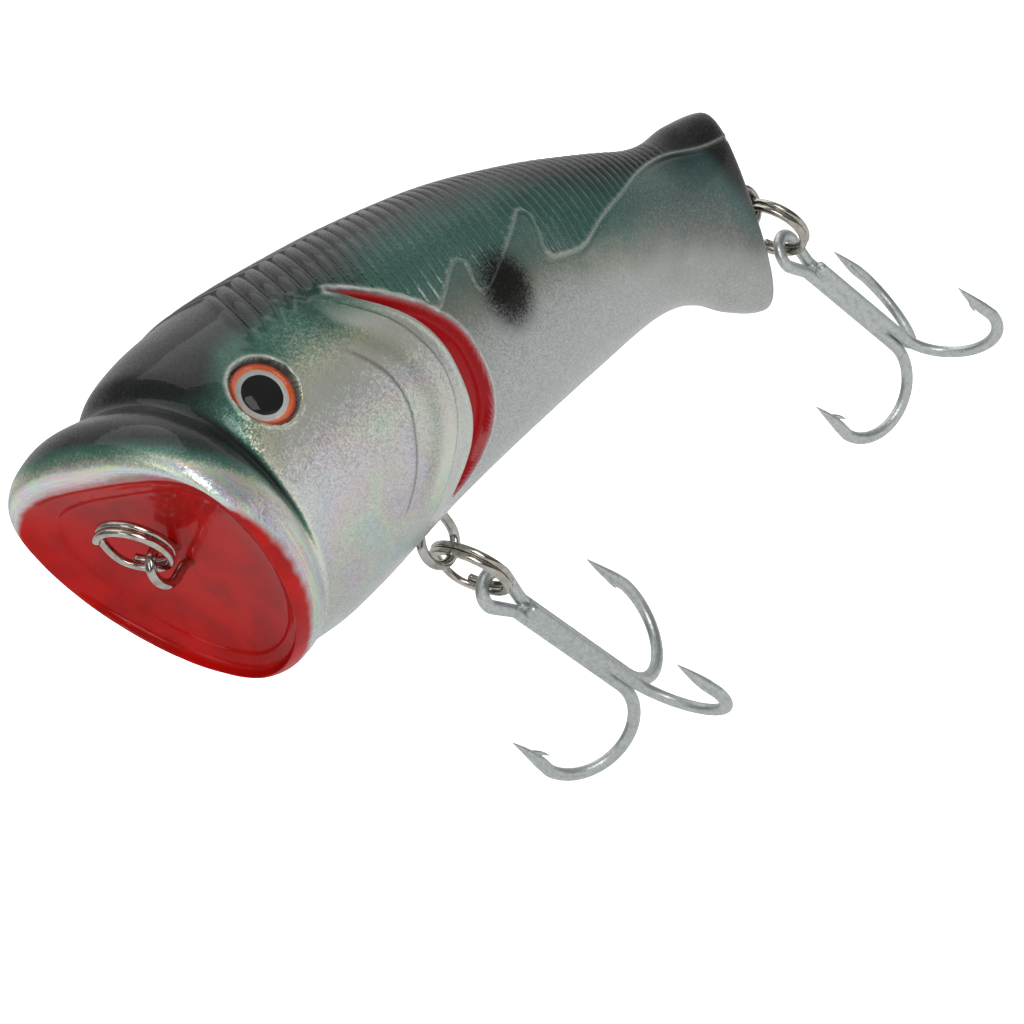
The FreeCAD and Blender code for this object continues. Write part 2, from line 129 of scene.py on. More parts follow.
def pchip(knots, values, at):
    # monotone cubic through the rows, column by column
    h = np.diff(knots)
    slope = np.diff(values, axis=0) / h[:, None]
    w1 = (2 * h[1:] + h[:-1])[:, None]
    w2 = (h[1:] + 2 * h[:-1])[:, None]
    same = slope[:-1] * slope[1:] > 0
    safe = np.where(same, w1 * slope[1:] + w2 * slope[:-1], 1.0)
    inner = np.where(same, (w1 + w2) * slope[:-1] * slope[1:] / safe, 0.0)
    m = np.vstack([slope[:1], inner, slope[-1:]])
    k = np.clip(np.searchsorted(knots, at, side="right") - 1, 0, len(knots) - 2)
    t = ((at - knots[k]) / h[k])[:, None]
    hk = h[k][:, None]
    t2 = t * t
    t3 = t2 * t
    return ((2 * t3 - 3 * t2 + 1) * values[k] + (t3 - 2 * t2 + t) * hk * m[k]
            + (3 * t2 - 2 * t3) * values[k + 1] + (t3 - t2) * hk * m[k + 1])


def blurred(table, sigma):
    reach = int(3 * sigma)
    kernel = np.exp(-0.5 * (np.arange(-reach, reach + 1) / sigma) ** 2)
    kernel /= kernel.sum()
    padded = np.pad(table, ((reach, reach), (0, 0)), mode="edge")
    return np.stack([np.convolve(column, kernel, mode="valid") for column in padded.T], 1)


def body_rows(pitch_scale=1.0):
    # the rows at every mesh station, with the station parameter of each
    rows = all_rows()
    step = np.hypot(np.diff(rows[:, X]), np.hypot(np.diff(rows[:, TOP]), np.diff(rows[:, HALF])))
    knots = np.concatenate([[0.0], np.cumsum(step)])
    fine = np.arange(0.0, knots[-1], 0.05)
    table = pchip(knots, rows, fine)
    first = len(CUP_PROFILE)
    marks = knots[first:first + len(STATIONS)]
    sharp = blurred(table, 8.0)
    broad = blurred(table, 70.0)
    mix = smooth(marks[5], marks[7], fine) * (1 - smooth(marks[12], marks[13], fine))
    table = sharp * (1 - mix[:, None]) + broad * mix[:, None]
    places = [0, marks[0] - 6, marks[0] - 3, marks[5], marks[8], marks[12], marks[-2], marks[-1]]
    pitch = np.interp(fine, places, [0.5, 0.4, 0.2, 0.2, 0.22, 0.26, 0.3, 0.15]) * pitch_scale
    progress = np.concatenate([[0.0], np.cumsum(0.05 / pitch[:-1])])
    count = int(progress[-1])
    at = np.interp(np.linspace(0, progress[-1], count), progress, fine)
    picked = np.stack([np.interp(at, fine, table[:, c]) for c in range(8)], 1)
    # 0 at the crest, 1 at the lip's front, and so on; negative inside the dish
    station = np.interp(at, knots, np.arange(len(rows)) - first)
    return picked, station


def section_points(rows, across):
    # left half of each section, from the back (share 0) to the belly (share 1)
    angle = math.pi / 2 - math.pi * across[None, :]
    c = np.maximum(np.cos(angle), 0.0)
    s = np.sin(angle)
    col = [rows[:, i][:, None] for i in range(8)]
    n = np.where(s >= 0, col[SQUARE_UP], col[SQUARE_LOW])
    reach = (c ** n + np.abs(s) ** n) ** (-1.0 / n)
    height = np.where(s >= 0, col[TOP] - col[WIDEST], col[WIDEST] - col[BOTTOM])
    z = col[WIDEST] + height * s * reach
    y = -col[HALF] * c * reach
    x = col[X] + col[LEAN] * z
    return np.stack([x, y, z], -1)


def grid_normals(p):
    du = np.gradient(p, axis=0)
    dv = np.gradient(p, axis=1)
    mirror = np.array((1.0, -1.0, 1.0))
    dv[:, 0] = (p[:, 1] - p[:, 1] * mirror) / 2
    dv[:, -1] = (p[:, -2] * mirror - p[:, -2]) / 2
    n = np.cross(dv, du)
    n /= np.maximum(np.linalg.norm(n, axis=-1, keepdims=True), 1e-9)
    return n


# ------------------------------------------------------------------ sculpted detail

def catmull(points, per_span=6, closed=False):
    points = np.array(points, float)
    if closed:
        points = np.vstack([points[-1], points, points[0], points[1]])
    else:
        points = np.vstack([2 * points[0] - points[1], points, 2 * points[-1] - points[-2]])
    out = []
    for i in range(1, len(points) - 2):
        a, b, c, d = points[i - 1:i + 3]
        for k in range(per_span):
            t = k / per_span
            out.append(0.5 * (2 * b + (c - a) * t + (2 * a - 5 * b + 4 * c - d) * t ** 2
                              + (3 * b - a - 3 * c + d) * t ** 3))
    if not closed:
        out.append(points[-2])
    return np.array(out)


def line_distance(x, z, line):
    # distance to a polyline in the side view, and on which side of it (positive to its left)
    best = np.full(x.shape, 1e9)
    side = np.zeros(x.shape)
    for (ax, az), (bx, bz) in zip(line[:-1], line[1:]):
        ex, ez = bx - ax, bz - az
        length = ex * ex + ez * ez
        t = np.clip(((x - ax) * ex + (z - az) * ez) / length, 0, 1)
        d = np.hypot(x - ax - t * ex, z - az - t * ez)
        nearer = d < best
        best = np.where(nearer, d, best)
        side = np.where(nearer, np.sign(ex * (z - az) - ez * (x - ax)), side)
    return best, side


def inside(x, z, ring):
    crossed = np.zeros(x.shape, bool)
    for (ax, az), (bx, bz) in zip(ring, np.roll(ring, -1, axis=0)):
        if az == bz:
            continue
        spans = (az > z) != (bz > z)
        crossed ^= spans & (x < (bx - ax) * (z - az) / (bz - az) + ax)
    return crossed


def signed(x, z, ring):
    closed = np.vstack([ring, ring[:1]])
    d, _ = line_distance(x, z, closed)
    return np.where(inside(x, z, ring), d, -d)


# lower border of the ribbed back: head, along the gill, two notches, then up to the tail
RIB_BORDER = (
    (14.0, 20.5), (18.5, 19.0), (24.0, 19.6), (28.0, 20.9), (35.2, 20.4), (39.5, 18.5),
    (44.8, 14.9), (48.8, 11.4), (51.8, 12.4), (55.7, 14.6), (58.2, 15.5), (59.8, 14.6),
    (59.3, 12.4), (59.2, 10.9), (60.6, 10.2), (67.7, 13.0), (75.6, 16.1), (77.6, 16.7),
    (79.3, 15.6), (78.6, 13.0), (77.3, 10.9), (78.2, 9.3), (80.2, 8.7), (87.3, 7.9),
    (95.4, 9.7), (104.4, 10.8), (112.9, 11.7), (123.0, 11.4), (132.6, 9.7), (143.0, 9.2),
)
GILL_FRONT = (
    (35.2, 19.7), (41.2, 14.9), (44.9, 10.8), (47.1, 6.1), (47.9, 0.4), (47.9, -4.0),
    (46.9, -7.6), (45.0, -10.6), (42.6, -13.6),
)
GILL_REAR = (
    (42.6, -13.6), (46.2, -12.6), (49.6, -10.3), (52.2, -7.0), (53.2, -3.0), (52.9, 2.0),
    (51.5, 6.8), (48.1, 11.2), (43.1, 15.2), (35.2, 19.7),
)
PLATE_EDGE = (
    (34.2, 17.9), (39.7, 13.3), (42.7, 8.9), (44.5, 4.7), (44.8, 0.4), (43.7, -4.2),
    (41.3, -8.8), (38.4, -12.9),
)
CHEEK_EDGE = (
    (27.9, 13.7), (30.8, 11.2), (34.0, 7.2), (35.3, 2.4), (34.4, -2.3), (32.6, -7.3),
    (30.1, -10.8),
)

EYE_CENTRE = np.array((14.7, -16.3, 12.9))
EYE_PITCH, EYE_YAW = math.radians(27.6), math.radians(8.4)
EYE_OUT = np.array((-math.sin(EYE_YAW) * math.cos(EYE_PITCH), -math.cos(EYE_YAW) * math.cos(EYE_PITCH),
                    math.sin(EYE_PITCH)))
SOCKET_R, SOCKET_DEPTH = 4.95, 2.0
SPOT = np.array((65.0, -17.0, 8.7))


NOISE_PRIMES = np.array((374761393, 668265263, 2147483647))


def value_noise(p, cell, seed):
    # smooth lattice noise from -1 to 1
    q = p / cell
    i = np.floor(q).astype(np.int64)
    f = q - i
    f = f * f * (3 - 2 * f)
    total = np.zeros(p.shape[:-1])
    for dx in (0, 1):
        for dy in (0, 1):
            for dz in (0, 1):
                h = (i + (dx, dy, dz)) @ NOISE_PRIMES
                h = (h + seed * 974634777) & 0xFFFFFFFF
                h = ((h ^ (h >> 13)) * 1274126177) & 0xFFFFFFFF
                h = (h ^ (h >> 16)) / 0xFFFFFFFF
                weight = ((f[..., 0] if dx else 1 - f[..., 0]) * (f[..., 1] if dy else 1 - f[..., 1])
                          * (f[..., 2] if dz else 1 - f[..., 2]))
                total += weight * (h * 2 - 1)
    return total


def rib_phase(x, y, half):
    # ribs run down each flank and sweep back as they reach the ridge of the back
    sweep = 8.5 - 6.5 * smooth(60, 92, x)
    s = x - sweep * np.maximum(0.0, 1 - np.abs(y) / np.maximum(half, 1.0)) ** 1.6
    places = np.arange(0.0, 150.0, 0.5)
    pitch = np.interp(places, [14, 30, 38, 80, 118], [3.2, 3.0, 2.35, 2.15, 1.75])
    return np.interp(s, places, np.cumsum(0.5 / pitch)), s


def detail(p, rows, station):
    # height to add along the normal, and the paint masks that follow the same shapes
    x, y, z = p[..., 0], p[..., 1], p[..., 2]
    shape = x.shape
    half = np.broadcast_to(rows[:, HALF][:, None], shape)
    g = np.broadcast_to(station[:, None], shape)
    head_only = smooth(4.6, 5.4, g)
    lift = np.zeros(shape)

    border = catmull(RIB_BORDER)
    zone = np.vstack([border, [(150.0, 40.0), (10.0, 40.0)]])
    phase, s = rib_phase(x, y, half)
    wave = phase - np.floor(phase)
    scallop = 0.5 * (1 - smooth(29, 34, x)) * (np.cos(2 * math.pi * phase))
    d = signed(x, z, zone) - scallop * smooth(12, 16, x)
    start = smooth(15.5, 17.5, s) * head_only
    ribbed = smooth(0.0, 0.7, d) * start * (1 - smooth(120, 126, x))
    head_ribs = 1 - smooth(30, 44, x)
    groove = bell(np.minimum(wave, 1 - wave), 0.13 + 0.05 * head_ribs)
    shingle = wave - 0.5
    strength = 0.46 * (0.75 + 0.25 * smooth(30, 40, x)) * (1 - 0.35 * smooth(95, 118, x))
    lift += ribbed * (0.22 * shingle - strength * groove + 0.12 + 0.16 * head_ribs * np.sin(math.pi * wave))
    # raised lip round the border of the ribbed zone, with a shallow groove outside it
    bordered = head_only * smooth(20, 30, x)
    edge_height = (1 - 0.6 * smooth(92, 108, x)) * (0.1 + 0.14 * smooth(40, 48, x))
    lift += (edge_height * bell(d - 0.05, 0.32) - 0.14 * bell(d + 0.6, 0.32)) * bordered

    gill = np.vstack([catmull(GILL_FRONT)[:-1], catmull(GILL_REAR)[:-1]])
    g_in = signed(x, z, gill) + 0.22 * (1 - smooth(38, 45, x)) * smooth(35.5, 38, x)
    slit = smooth(-0.1, 0.75, g_in)
    lift -= 1.35 * slit
    lift += 0.3 * bell(g_in + 0.45, 0.45)
    d_plate, plate_side = line_distance(x, z, catmull(PLATE_EDGE))
    ahead = np.where(plate_side < 0, d_plate, -d_plate)
    plate_lift = smooth(-0.15, 0.25, ahead) * np.exp(-np.maximum(ahead, 0) / 3.2) * (d_plate < 14)
    lift += 0.55 * plate_lift * smooth(-0.2, 0.6, -g_in)
    d_cheek, cheek_side = line_distance(x, z, catmull(CHEEK_EDGE))
    front = np.where(cheek_side < 0, d_cheek, -d_cheek)
    ends = smooth(0.0, 3.0, 14.2 - z) * smooth(-13.5, -10.0, z)
    lift += 0.34 * smooth(-0.35, 0.3, front) * np.exp(-np.maximum(front, 0) / 2.4) * ends * (d_cheek < 12)

    # crease behind the lip, deepest over the top
    lift -= 0.35 * bell(g - 4.0, 0.35) * (0.4 + 0.6 * smooth(-14, 6, z))
    # faint step round the floor of the dish
    lift += 0.2 * smooth(-2.65, -2.4, g) * (1 - smooth(-2.3, -1.0, g)) * (g < 0)
    # small uneven skin, strongest on the lip
    lift += 0.035 * value_noise(p, 3.1, 3) * smooth(-0.2, 0.6, g) * (1 - 0.7 * smooth(4, 6, g))

    red_edge = np.interp(z, (-13.0, -5.0, 1.4, 5.0, 9.0), (2.25, 2.1, 1.6, 0.6, 0.15))
    mouth = 1 - smooth(-0.34, 0.26, g - red_edge + 0.12 * value_noise(p, 1.3, 7))
    spot_d = np.sqrt(((x - SPOT[0]) / 6.2) ** 2 + ((z - SPOT[2]) / 5.9) ** 2)
    to_front = line_distance(x, z, catmull(GILL_FRONT))[0]
    to_rear = line_distance(x, z, catmull(GILL_REAR))[0]
    rear = smooth(-0.4, 0.4, to_front - to_rear)
    second = smooth(0.3, 0.8, -ahead) * (1 - smooth(-0.3, 0.3, g_in)) * (d_plate < 5) * (x < 48)
    masks = {
        "ribbed": ribbed,
        "gill_rim": bell(g_in + 0.55 + 0.2 * value_noise(p, 0.8, 9), 0.3) * rear,
        "plate_line": bell(ahead + 0.12, 0.3) * (1 - smooth(-0.3, 0.3, g_in)),
        "mouth": mouth,
        "gill": smooth(0.2 - 0.4 * rear, 0.7 - 0.6 * rear, g_in),
        "gill_edge": 0.8 * bell(g_in + 0.12, 0.16) * rear,
        "spot": 1 - smooth(0.3, 1.7, spot_d),
        "rib_groove_shade": ribbed * groove,
        # painted highlight along the raised border of the ribbed back
        "rib_border_highlight": bell(d - 0.05, 0.17) * head_only * smooth(40, 48, x),
        "plate": (smooth(-0.1, 0.4, ahead) * (1 - smooth(2.2, 3.8, ahead)) * (d_plate < 14)
                  * (1 - smooth(-0.3, 0.3, g_in))),
        # painted shade on the gill plate, a little ahead of its raised edge
        "plate_shade": bell(ahead - 4.6, 1.5) * (d_plate < 9) * smooth(-14, -6, z),
        "second": second,
        "cheek_line": bell(front + 0.1, 0.35) * ends,
        "crease": bell(g - 4.05, 0.3),
        "station": g,
    }
    return lift, masks


def press_socket(p, masks):
    # a round flat-floored socket for the glued eye
    rel = p - EYE_CENTRE
    up = rel @ EYE_OUT
    radial = rel - up[..., None] * EYE_OUT
    rho = np.linalg.norm(radial, axis=-1)
    near = (up > -8) & (p[..., 1] < -4)
    ragged = 0.16 * value_noise(p, 0.9, 11)
    inside_socket = (1 - smooth(SOCKET_R - 0.12, SOCKET_R + 0.12, rho)) * near
    floor = p - (up + SOCKET_DEPTH)[..., None] * EYE_OUT
    out = p * (1 - inside_socket[..., None]) + floor * inside_socket[..., None]
    rim = bell(rho - SOCKET_R - 0.35, 0.3) * near * (1 - inside_socket)
    out += (0.18 + ragged)[..., None] * rim[..., None] * EYE_OUT
    # the socket's floor and wall are dark: painted shade in the recess round the eye
    masks["socket"] = np.clip(inside_socket + bell(rho - SOCKET_R, 0.22) * near, 0, 1)
    broken = radial[..., 2] / SOCKET_R + 0.7 * value_noise(p, 1.1, 12)
    masks["socket_rim"] = rim * smooth(-0.5, 0.6, broken)
    return out


# ------------------------------------------------------------------ mesh helpers

def new_object(name, vertices, faces, material):
    mesh = bpy.data.meshes.new(name)
    mesh.from_pydata([], [], [])
    mesh.vertices.add(len(vertices))
    metres = (np.asarray(vertices, float) + OFFSET) * MM
    mesh.vertices.foreach_set("co", metres.astype(np.float32).ravel())
    sizes = np.array([len(f) for f in faces], np.int32)
    flat = np.fromiter((i for f in faces for i in f), np.int32, int(sizes.sum()))
    mesh.loops.add(len(flat))
    mesh.loops.foreach_set("vertex_index", flat)
    mesh.polygons.add(len(faces))
    mesh.polygons.foreach_set("loop_start", np.concatenate([[0], np.cumsum(sizes)[:-1]]).astype(np.int32))
    mesh.polygons.foreach_set("use_smooth", np.ones(len(faces), bool))
    mesh.update(calc_edges=True)
    mesh.validate()
    made = bpy.data.objects.new(name, mesh)
    bpy.context.scene.collection.objects.link(made)
    mesh.materials.append(material)
    return made


def grid_faces(rows, columns, start=0, wrap=False, flip=False):
    faces = []
    last = columns if wrap else columns - 1
    for i in range(rows - 1):
        for j in range(last):
            a = start + i * columns + j
            b = start + i * columns + (j + 1) % columns
            c = b + columns
            d = a + columns
            faces.append((a, d, c, b) if flip else (a, b, c, d))
    return faces


def tube(centre, radius_a, radius_b, side_axis, sides=20, power=2.0):
    # a wire swept along a line of points, with a low dome on each end; radius_a lies along the side axis
    centre = np.asarray(centre, float)
    count = len(centre)
    radius_a = np.broadcast_to(np.asarray(radius_a, float), (count,))
    radius_b = np.broadcast_to(np.asarray(radius_b, float), (count,))
    along = np.gradient(centre, axis=0)
    along /= np.linalg.norm(along, axis=1, keepdims=True)
    side = np.broadcast_to(np.asarray(side_axis, float), (count, 3)).copy()
    side -= along * (side * along).sum(1, keepdims=True)
    side /= np.linalg.norm(side, axis=1, keepdims=True)
    other = np.cross(along, side)
    angle = np.linspace(0, 2 * math.pi, sides, endpoint=False)
    c, s = np.cos(angle), np.sin(angle)
    reach = (np.abs(c) ** power + np.abs(s) ** power) ** (-1.0 / power)
    ring = (centre[:, None] + side[:, None] * (radius_a[:, None] * c * reach)[..., None]
            + other[:, None] * (radius_b[:, None] * s * reach)[..., None])
    vertices = list(ring.reshape(-1, 3))
    faces = grid_faces(count, sides, wrap=True)
    for at, sign in ((0, -1), (count - 1, 1)):
        tip = len(vertices)
        dome = min(radius_a[at], radius_b[at]) * 0.35
        vertices.append(centre[at] + along[at] * sign * dome)
        for j in range(sides):
            a, b = at * sides + j, at * sides + (j + 1) % sides
            faces.append((b, a, tip) if sign < 0 else (a, b, tip))
    return np.array(vertices), faces


def merged(parts):
    vertices, faces, base = [], [], 0
    for v, f in parts:
        vertices.append(v)
        faces += [tuple(i + base for i in face) for face in f]
        base += len(v)
    return np.vstack(vertices), faces


def outward(made):
    bm = bmesh.new()
    bm.from_mesh(made.data)
    bmesh.ops.recalc_face_normals(bm, faces=bm.faces)
    bm.to_mesh(made.data)
    bm.free()
    return made


# ------------------------------------------------------------------ materials

class Graph:
    """Builds one node material: every call adds a node and returns its output socket."""

    def __init__(self, name, viewport):
        self.material = bpy.data.materials.new(name)
        self.material.use_nodes = True
        self.material.diffuse_color = (*viewport, 1.0)
        self.tree = self.material.node_tree
        self.tree.nodes.clear()
        self.output = self.tree.nodes.new("ShaderNodeOutputMaterial")
        place = self.node("ShaderNodeTexCoord").outputs["Object"]
        self.place = self.vector("SCALE", place, scale=1 / MM)

    def node(self, kind, inputs=None, **settings):
        made = self.tree.nodes.new(kind)
        for key, value in settings.items():
            setattr(made, key, value)
        for key, value in (inputs or {}).items():
            self.feed(made.inputs[key], value)
        return made

    def feed(self, socket, value):
        if isinstance(value, bpy.types.NodeSocket):
            self.tree.links.new(value, socket)
        else:
            socket.default_value = value

    def vector(self, operation, a, b=None, scale=None):
        made = self.node("ShaderNodeVectorMath", operation=operation)
        self.feed(made.inputs[0], a)
        if b is not None:
            self.feed(made.inputs[1], b)
        if scale is not None:
            self.feed(made.inputs["Scale"], scale)
        return made.outputs["Value"] if operation in ("LENGTH", "DOT_PRODUCT") else made.outputs["Vector"]

    def math(self, operation, a, b=0.0, clamp=False):
        made = self.node("ShaderNodeMath", operation=operation, use_clamp=clamp)
        self.feed(made.inputs[0], a)
        self.feed(made.inputs[1], b)
        return made.outputs["Value"]

    def times(self, a, b):
        return self.math("MULTIPLY", a, b)

    def plus(self, a, b, clamp=False):
        return self.math("ADD", a, b, clamp)

    def minus(self, a, b):
        return self.math("SUBTRACT", a, b)

    def span(self, value, low, high, out_low=0.0, out_high=1.0):
        made = self.node("ShaderNodeMapRange", {"Value": value, "From Min": low, "From Max": high,
                                                "To Min": out_low, "To Max": out_high})
        made.interpolation_type = "SMOOTHSTEP"
        return made.outputs["Result"]

    def attribute(self, name):
        return self.node("ShaderNodeAttribute", attribute_name=name).outputs["Fac"]

    def noise(self, scale, detail=2.0, place=None, roughness=0.5):
        inputs = {"Vector": place or self.place, "Scale": scale, "Detail": detail, "Roughness": roughness}
        return self.node("ShaderNodeTexNoise", inputs).outputs["Fac"]

    def cells(self, scale, place=None):
        return self.node("ShaderNodeTexVoronoi", {"Vector": place or self.place, "Scale": scale})

    def mix(self, factor, a, b, blend="MIX"):
        made = self.node("ShaderNodeMix", data_type="RGBA", blend_type=blend)
        self.feed(made.inputs["Factor"], factor)
        self.feed(made.inputs[6], a)
        self.feed(made.inputs[7], b)
        return made.outputs[2]

    def ramp(self, factor, stops):
        made = self.node("ShaderNodeValToRGB", {"Fac": factor})
        elements = made.color_ramp.elements
        while len(elements) < len(stops):
            elements.new(0.5)
        for element, (position, colour) in zip(elements, stops):
            element.position = position
            element.color = (*colour, 1.0)
        return made.outputs["Color"]

    def bump(self, height, distance, normal=None):
        made = self.node("ShaderNodeBump", {"Height": height, "Distance": distance * MM, "Strength": 1.0})
        if normal is not None:
            self.feed(made.inputs["Normal"], normal)
        return made.outputs["Normal"]

    def principled(self, **inputs):
        names = {"Transmission": "Transmission Weight", "Specular": "Specular IOR Level"}
        inputs = {names.get(key, key.replace("_", " ")): value for key, value in inputs.items()}
        made = self.node("ShaderNodeBsdfPrincipled", inputs)
        return made.outputs["BSDF"]

    def finish(self, shader):
        self.tree.links.new(shader, self.output.inputs["Surface"])
        return self.material


def rgb(r, g, b):
    # sRGB bytes to linear
    return tuple(((c / 255 + 0.055) / 1.055) ** 2.4 if c > 10 else c / 255 / 12.92 for c in (r, g, b))


def solid(r, g, b):
    return (*rgb(r, g, b), 1.0)


def paint_material():
    g = Graph("painted_body", (0.4, 0.45, 0.44))
    tone = g.attribute("tone")
    grain = g.minus(g.noise(4.6, 3.0, roughness=0.75), 0.5)
    cloud = g.minus(g.noise(0.16, 3.0), 0.5)
    flake = g.cells(4.2)
    flake_value = g.node("ShaderNodeSeparateColor", {"Color": flake.outputs["Color"]}).outputs["Red"]
    flake_off = g.minus(flake_value, 0.5)
    spray = g.plus(g.times(grain, 0.26), g.times(flake_off, 0.13))
    spray = g.plus(spray, g.times(cloud, 0.10))
    hidden = g.times(tone, g.minus(1.0, tone))
    shade = g.plus(tone, g.times(spray, g.plus(0.25, g.times(hidden, 4.6))),
                   clamp=True)
    head = g.ramp(shade, [(0.0, rgb(196, 202, 200)), (0.24, rgb(238, 242, 238)), (0.42, rgb(240, 237, 208)),
                          (0.56, rgb(146, 172, 154)), (0.68, rgb(64, 116, 100)), (0.84, rgb(30, 62, 54)),
                          (0.94, rgb(24, 27, 26))])
    # the top stops of the mid body and tail ramps are lifted from black to warm grey: partly the ribs' own
    # colour, partly a painted highlight on the ridge of the back
    middle = g.ramp(shade, [(0.0, rgb(184, 190, 190)), (0.25, rgb(188, 193, 190)), (0.40, rgb(158, 162, 150)),
                            (0.55, rgb(118, 140, 131)), (0.68, rgb(68, 112, 104)), (0.84, rgb(50, 92, 86)),
                            (0.99, rgb(50, 52, 49))])
    tail = g.ramp(shade, [(0.0, rgb(198, 203, 202)), (0.25, rgb(174, 177, 172)), (0.40, rgb(124, 127, 122)),
                          (0.56, rgb(98, 115, 112)), (0.70, rgb(74, 108, 105)), (0.86, rgb(46, 76, 74)),
                          (0.97, rgb(34, 36, 33))])
    along = g.attribute("along")
    body = g.mix(g.span(along, 0.0, 1.0), head, middle)
    body = g.mix(g.span(along, 1.0, 2.0), body, tail)

    # bright specks of the metallic base that show through the colour
    bright = g.span(flake_value, 0.72, 0.95)
    speck = g.times(bright, g.span(tone, 0.97, 0.35, 0.0, 0.22))
    body = g.mix(speck, body, solid(212, 220, 205))

    # rainbow foil
    facing = g.node("ShaderNodeLayerWeight", {"Blend": 0.5}).outputs["Facing"]
    drift = g.noise(0.09, 2.0)
    apart = g.node("ShaderNodeSeparateXYZ", {"Vector": g.place}).outputs
    lay = g.node("ShaderNodeCombineXYZ", {"X": g.times(g.attribute("ring"), 8.0),
                                          "Y": g.times(apart["Y"], 0.08),
                                          "Z": g.times(apart["Z"], 0.08)}).outputs["Vector"]
    streak = g.noise(1.0, 3.0, place=lay)
    hue = g.plus(g.times(facing, 1.6), g.times(drift, 2.2))
    hue = g.plus(hue, g.times(streak, 2.2))
    hue = g.plus(hue, g.times(g.attribute("ring"), 0.8))
    wheel = {"Red": g.math("FRACT", hue), "Green": 0.5, "Blue": 0.96}
    rainbow = g.node("ShaderNodeCombineColor", wheel, mode="HSV")
    sheen = g.times(g.attribute("foil"), g.span(streak, 0.36, 0.62, 0.12, 0.46))
    body = g.mix(sheen, body, rainbow.outputs["Color"])
    pale = g.span(streak, 0.52, 0.7)
    body = g.mix(g.times(g.times(g.attribute("foil"), pale), 0.45), body,
                 solid(232, 234, 228))

    # pale paint and painted highlights on edges, dark lines and painted shade, the spot, and the reds
    body = g.mix(g.times(g.attribute("pale_paint_and_highlight"), 0.85), body, solid(232, 233, 224))
    body = g.mix(g.times(g.attribute("dark_line_and_shade"), 0.8), body, solid(16, 20, 18))
    spot = g.plus(g.attribute("spot"), g.times(g.plus(grain, flake_off), 0.27))
    spot = g.times(g.span(spot, 0.16, 0.98), g.span(g.attribute("spot"), 0.0, 0.15))
    body = g.mix(spot, body, solid(19, 19, 16))
    gill = g.attribute("gill")
    body = g.mix(g.attribute("gill_edge"), body, solid(165, 24, 78))
    mouth = g.attribute("mouth")
    red_cloud = g.mix(g.span(cloud, -0.12, 0.14), solid(204, 14, 8), solid(180, 12, 8))
    rim_pink = g.span(mouth, 0.35, 0.98)
    red = g.mix(rim_pink, solid(196, 26, 66), red_cloud)
    body = g.mix(mouth, body, red)
    body = g.mix(gill, body, solid(176, 16, 24))

    painted = g.math("MAXIMUM", g.math("MAXIMUM", mouth, gill), spot)
    # light and dark grain over the whole coat
    salt = g.plus(0.5, g.plus(g.times(grain, 1.3), g.times(flake_off, 0.35)), clamp=True)
    salt = g.node("ShaderNodeCombineColor", {"Red": salt, "Green": salt, "Blue": salt}).outputs["Color"]
    body = g.mix(g.span(painted, 0.0, 1.0, 0.5, 0.08), body, salt, "OVERLAY")
    metal = g.times(g.minus(1.0, painted), g.span(tone, 0.98, 0.3, 0.15, 0.78))
    # each flake of the base coat lies at its own small angle
    tilt = g.vector("SUBTRACT", flake.outputs["Color"], (0.5, 0.5, 0.5))
    fine = g.cells(8.5)
    tilt = g.vector("ADD", tilt, g.vector("SUBTRACT", fine.outputs["Color"], (0.5, 0.5, 0.5)))
    amount = g.times(g.minus(1.0, painted), 0.2)
    base_normal = g.node("ShaderNodeNewGeometry").outputs["Normal"]
    flake_normal = g.vector("NORMALIZE", g.vector("ADD", base_normal, g.vector("SCALE", tilt, scale=amount)))
    dimple = g.bump(g.noise(0.5, 3.0), 0.05)
    rough = g.span(painted, 0.0, 1.0, 0.34, 0.5)
    coat = g.span(painted, 0.0, 1.0, 0.48, 0.34)
    shine = g.times(g.span(painted, 0.0, 1.0, 0.35, 0.1), g.span(tone, 0.7, 0.95, 1.0, 0.4))
    shader = g.principled(Base_Color=body, Metallic=metal, Roughness=rough, Normal=flake_normal,
                          Coat_Weight=coat, Coat_Roughness=0.035, Coat_IOR=1.5, Specular=shine,
                          Coat_Normal=dimple)
    return g.finish(shader)


def plain_plastic():
    g = Graph("bare_plastic", (0.7, 0.7, 0.68))
    shade = g.mix(g.noise(0.4, 3.0), solid(196, 198, 194), solid(182, 184, 180))
    return g.finish(g.principled(Base_Color=shade, Roughness=0.42, Normal=g.bump(g.noise(2.5, 4.0), 0.01)))


def bright_metal(name, colour, dull, roughness, grain=0.004):
    # polished wire with drawing marks and faint handling haze
    g = Graph(name, colour)
    haze = g.noise(0.8, 4.0)
    shade = g.mix(g.span(haze, 0.35, 0.75), (*colour, 1.0), (*dull, 1.0))
    marks = g.noise(6.0, 4.0, roughness=0.7)
    rough = g.span(haze, 0.3, 0.8, roughness, roughness * 1.8)
    normal = g.bump(marks, grain)
    return g.finish(g.principled(Base_Color=shade, Metallic=1.0, Roughness=rough, Normal=normal))


def tinned_metal(name):
    # hot dipped coat: pale, satin, with soft spangle, small runs and pinholes
    g = Graph(name, rgb(176, 184, 182))
    spangle = g.cells(0.55)
    spangle_value = g.node("ShaderNodeSeparateColor", {"Color": spangle.outputs["Color"]}).outputs["Red"]
    haze = g.noise(1.5, 5.0, roughness=0.65)
    shade = g.mix(g.span(haze, 0.32, 0.72), solid(214, 220, 218), solid(186, 193, 191))
    shade = g.mix(g.times(spangle_value, 0.12), shade, solid(222, 227, 224))
    pits = g.span(g.noise(3.4, 4.0, roughness=0.7), 0.60, 0.72)
    shade = g.mix(g.times(pits, 0.3), shade, solid(112, 122, 121))
    rough = g.span(haze, 0.3, 0.75, 0.32, 0.46)
    height = g.plus(g.times(haze, 0.7), g.times(g.noise(5.0, 5.0), 0.3))
    normal = g.bump(height, 0.05)
    return g.finish(g.principled(Base_Color=shade, Metallic=0.88, Roughness=rough, Normal=normal))


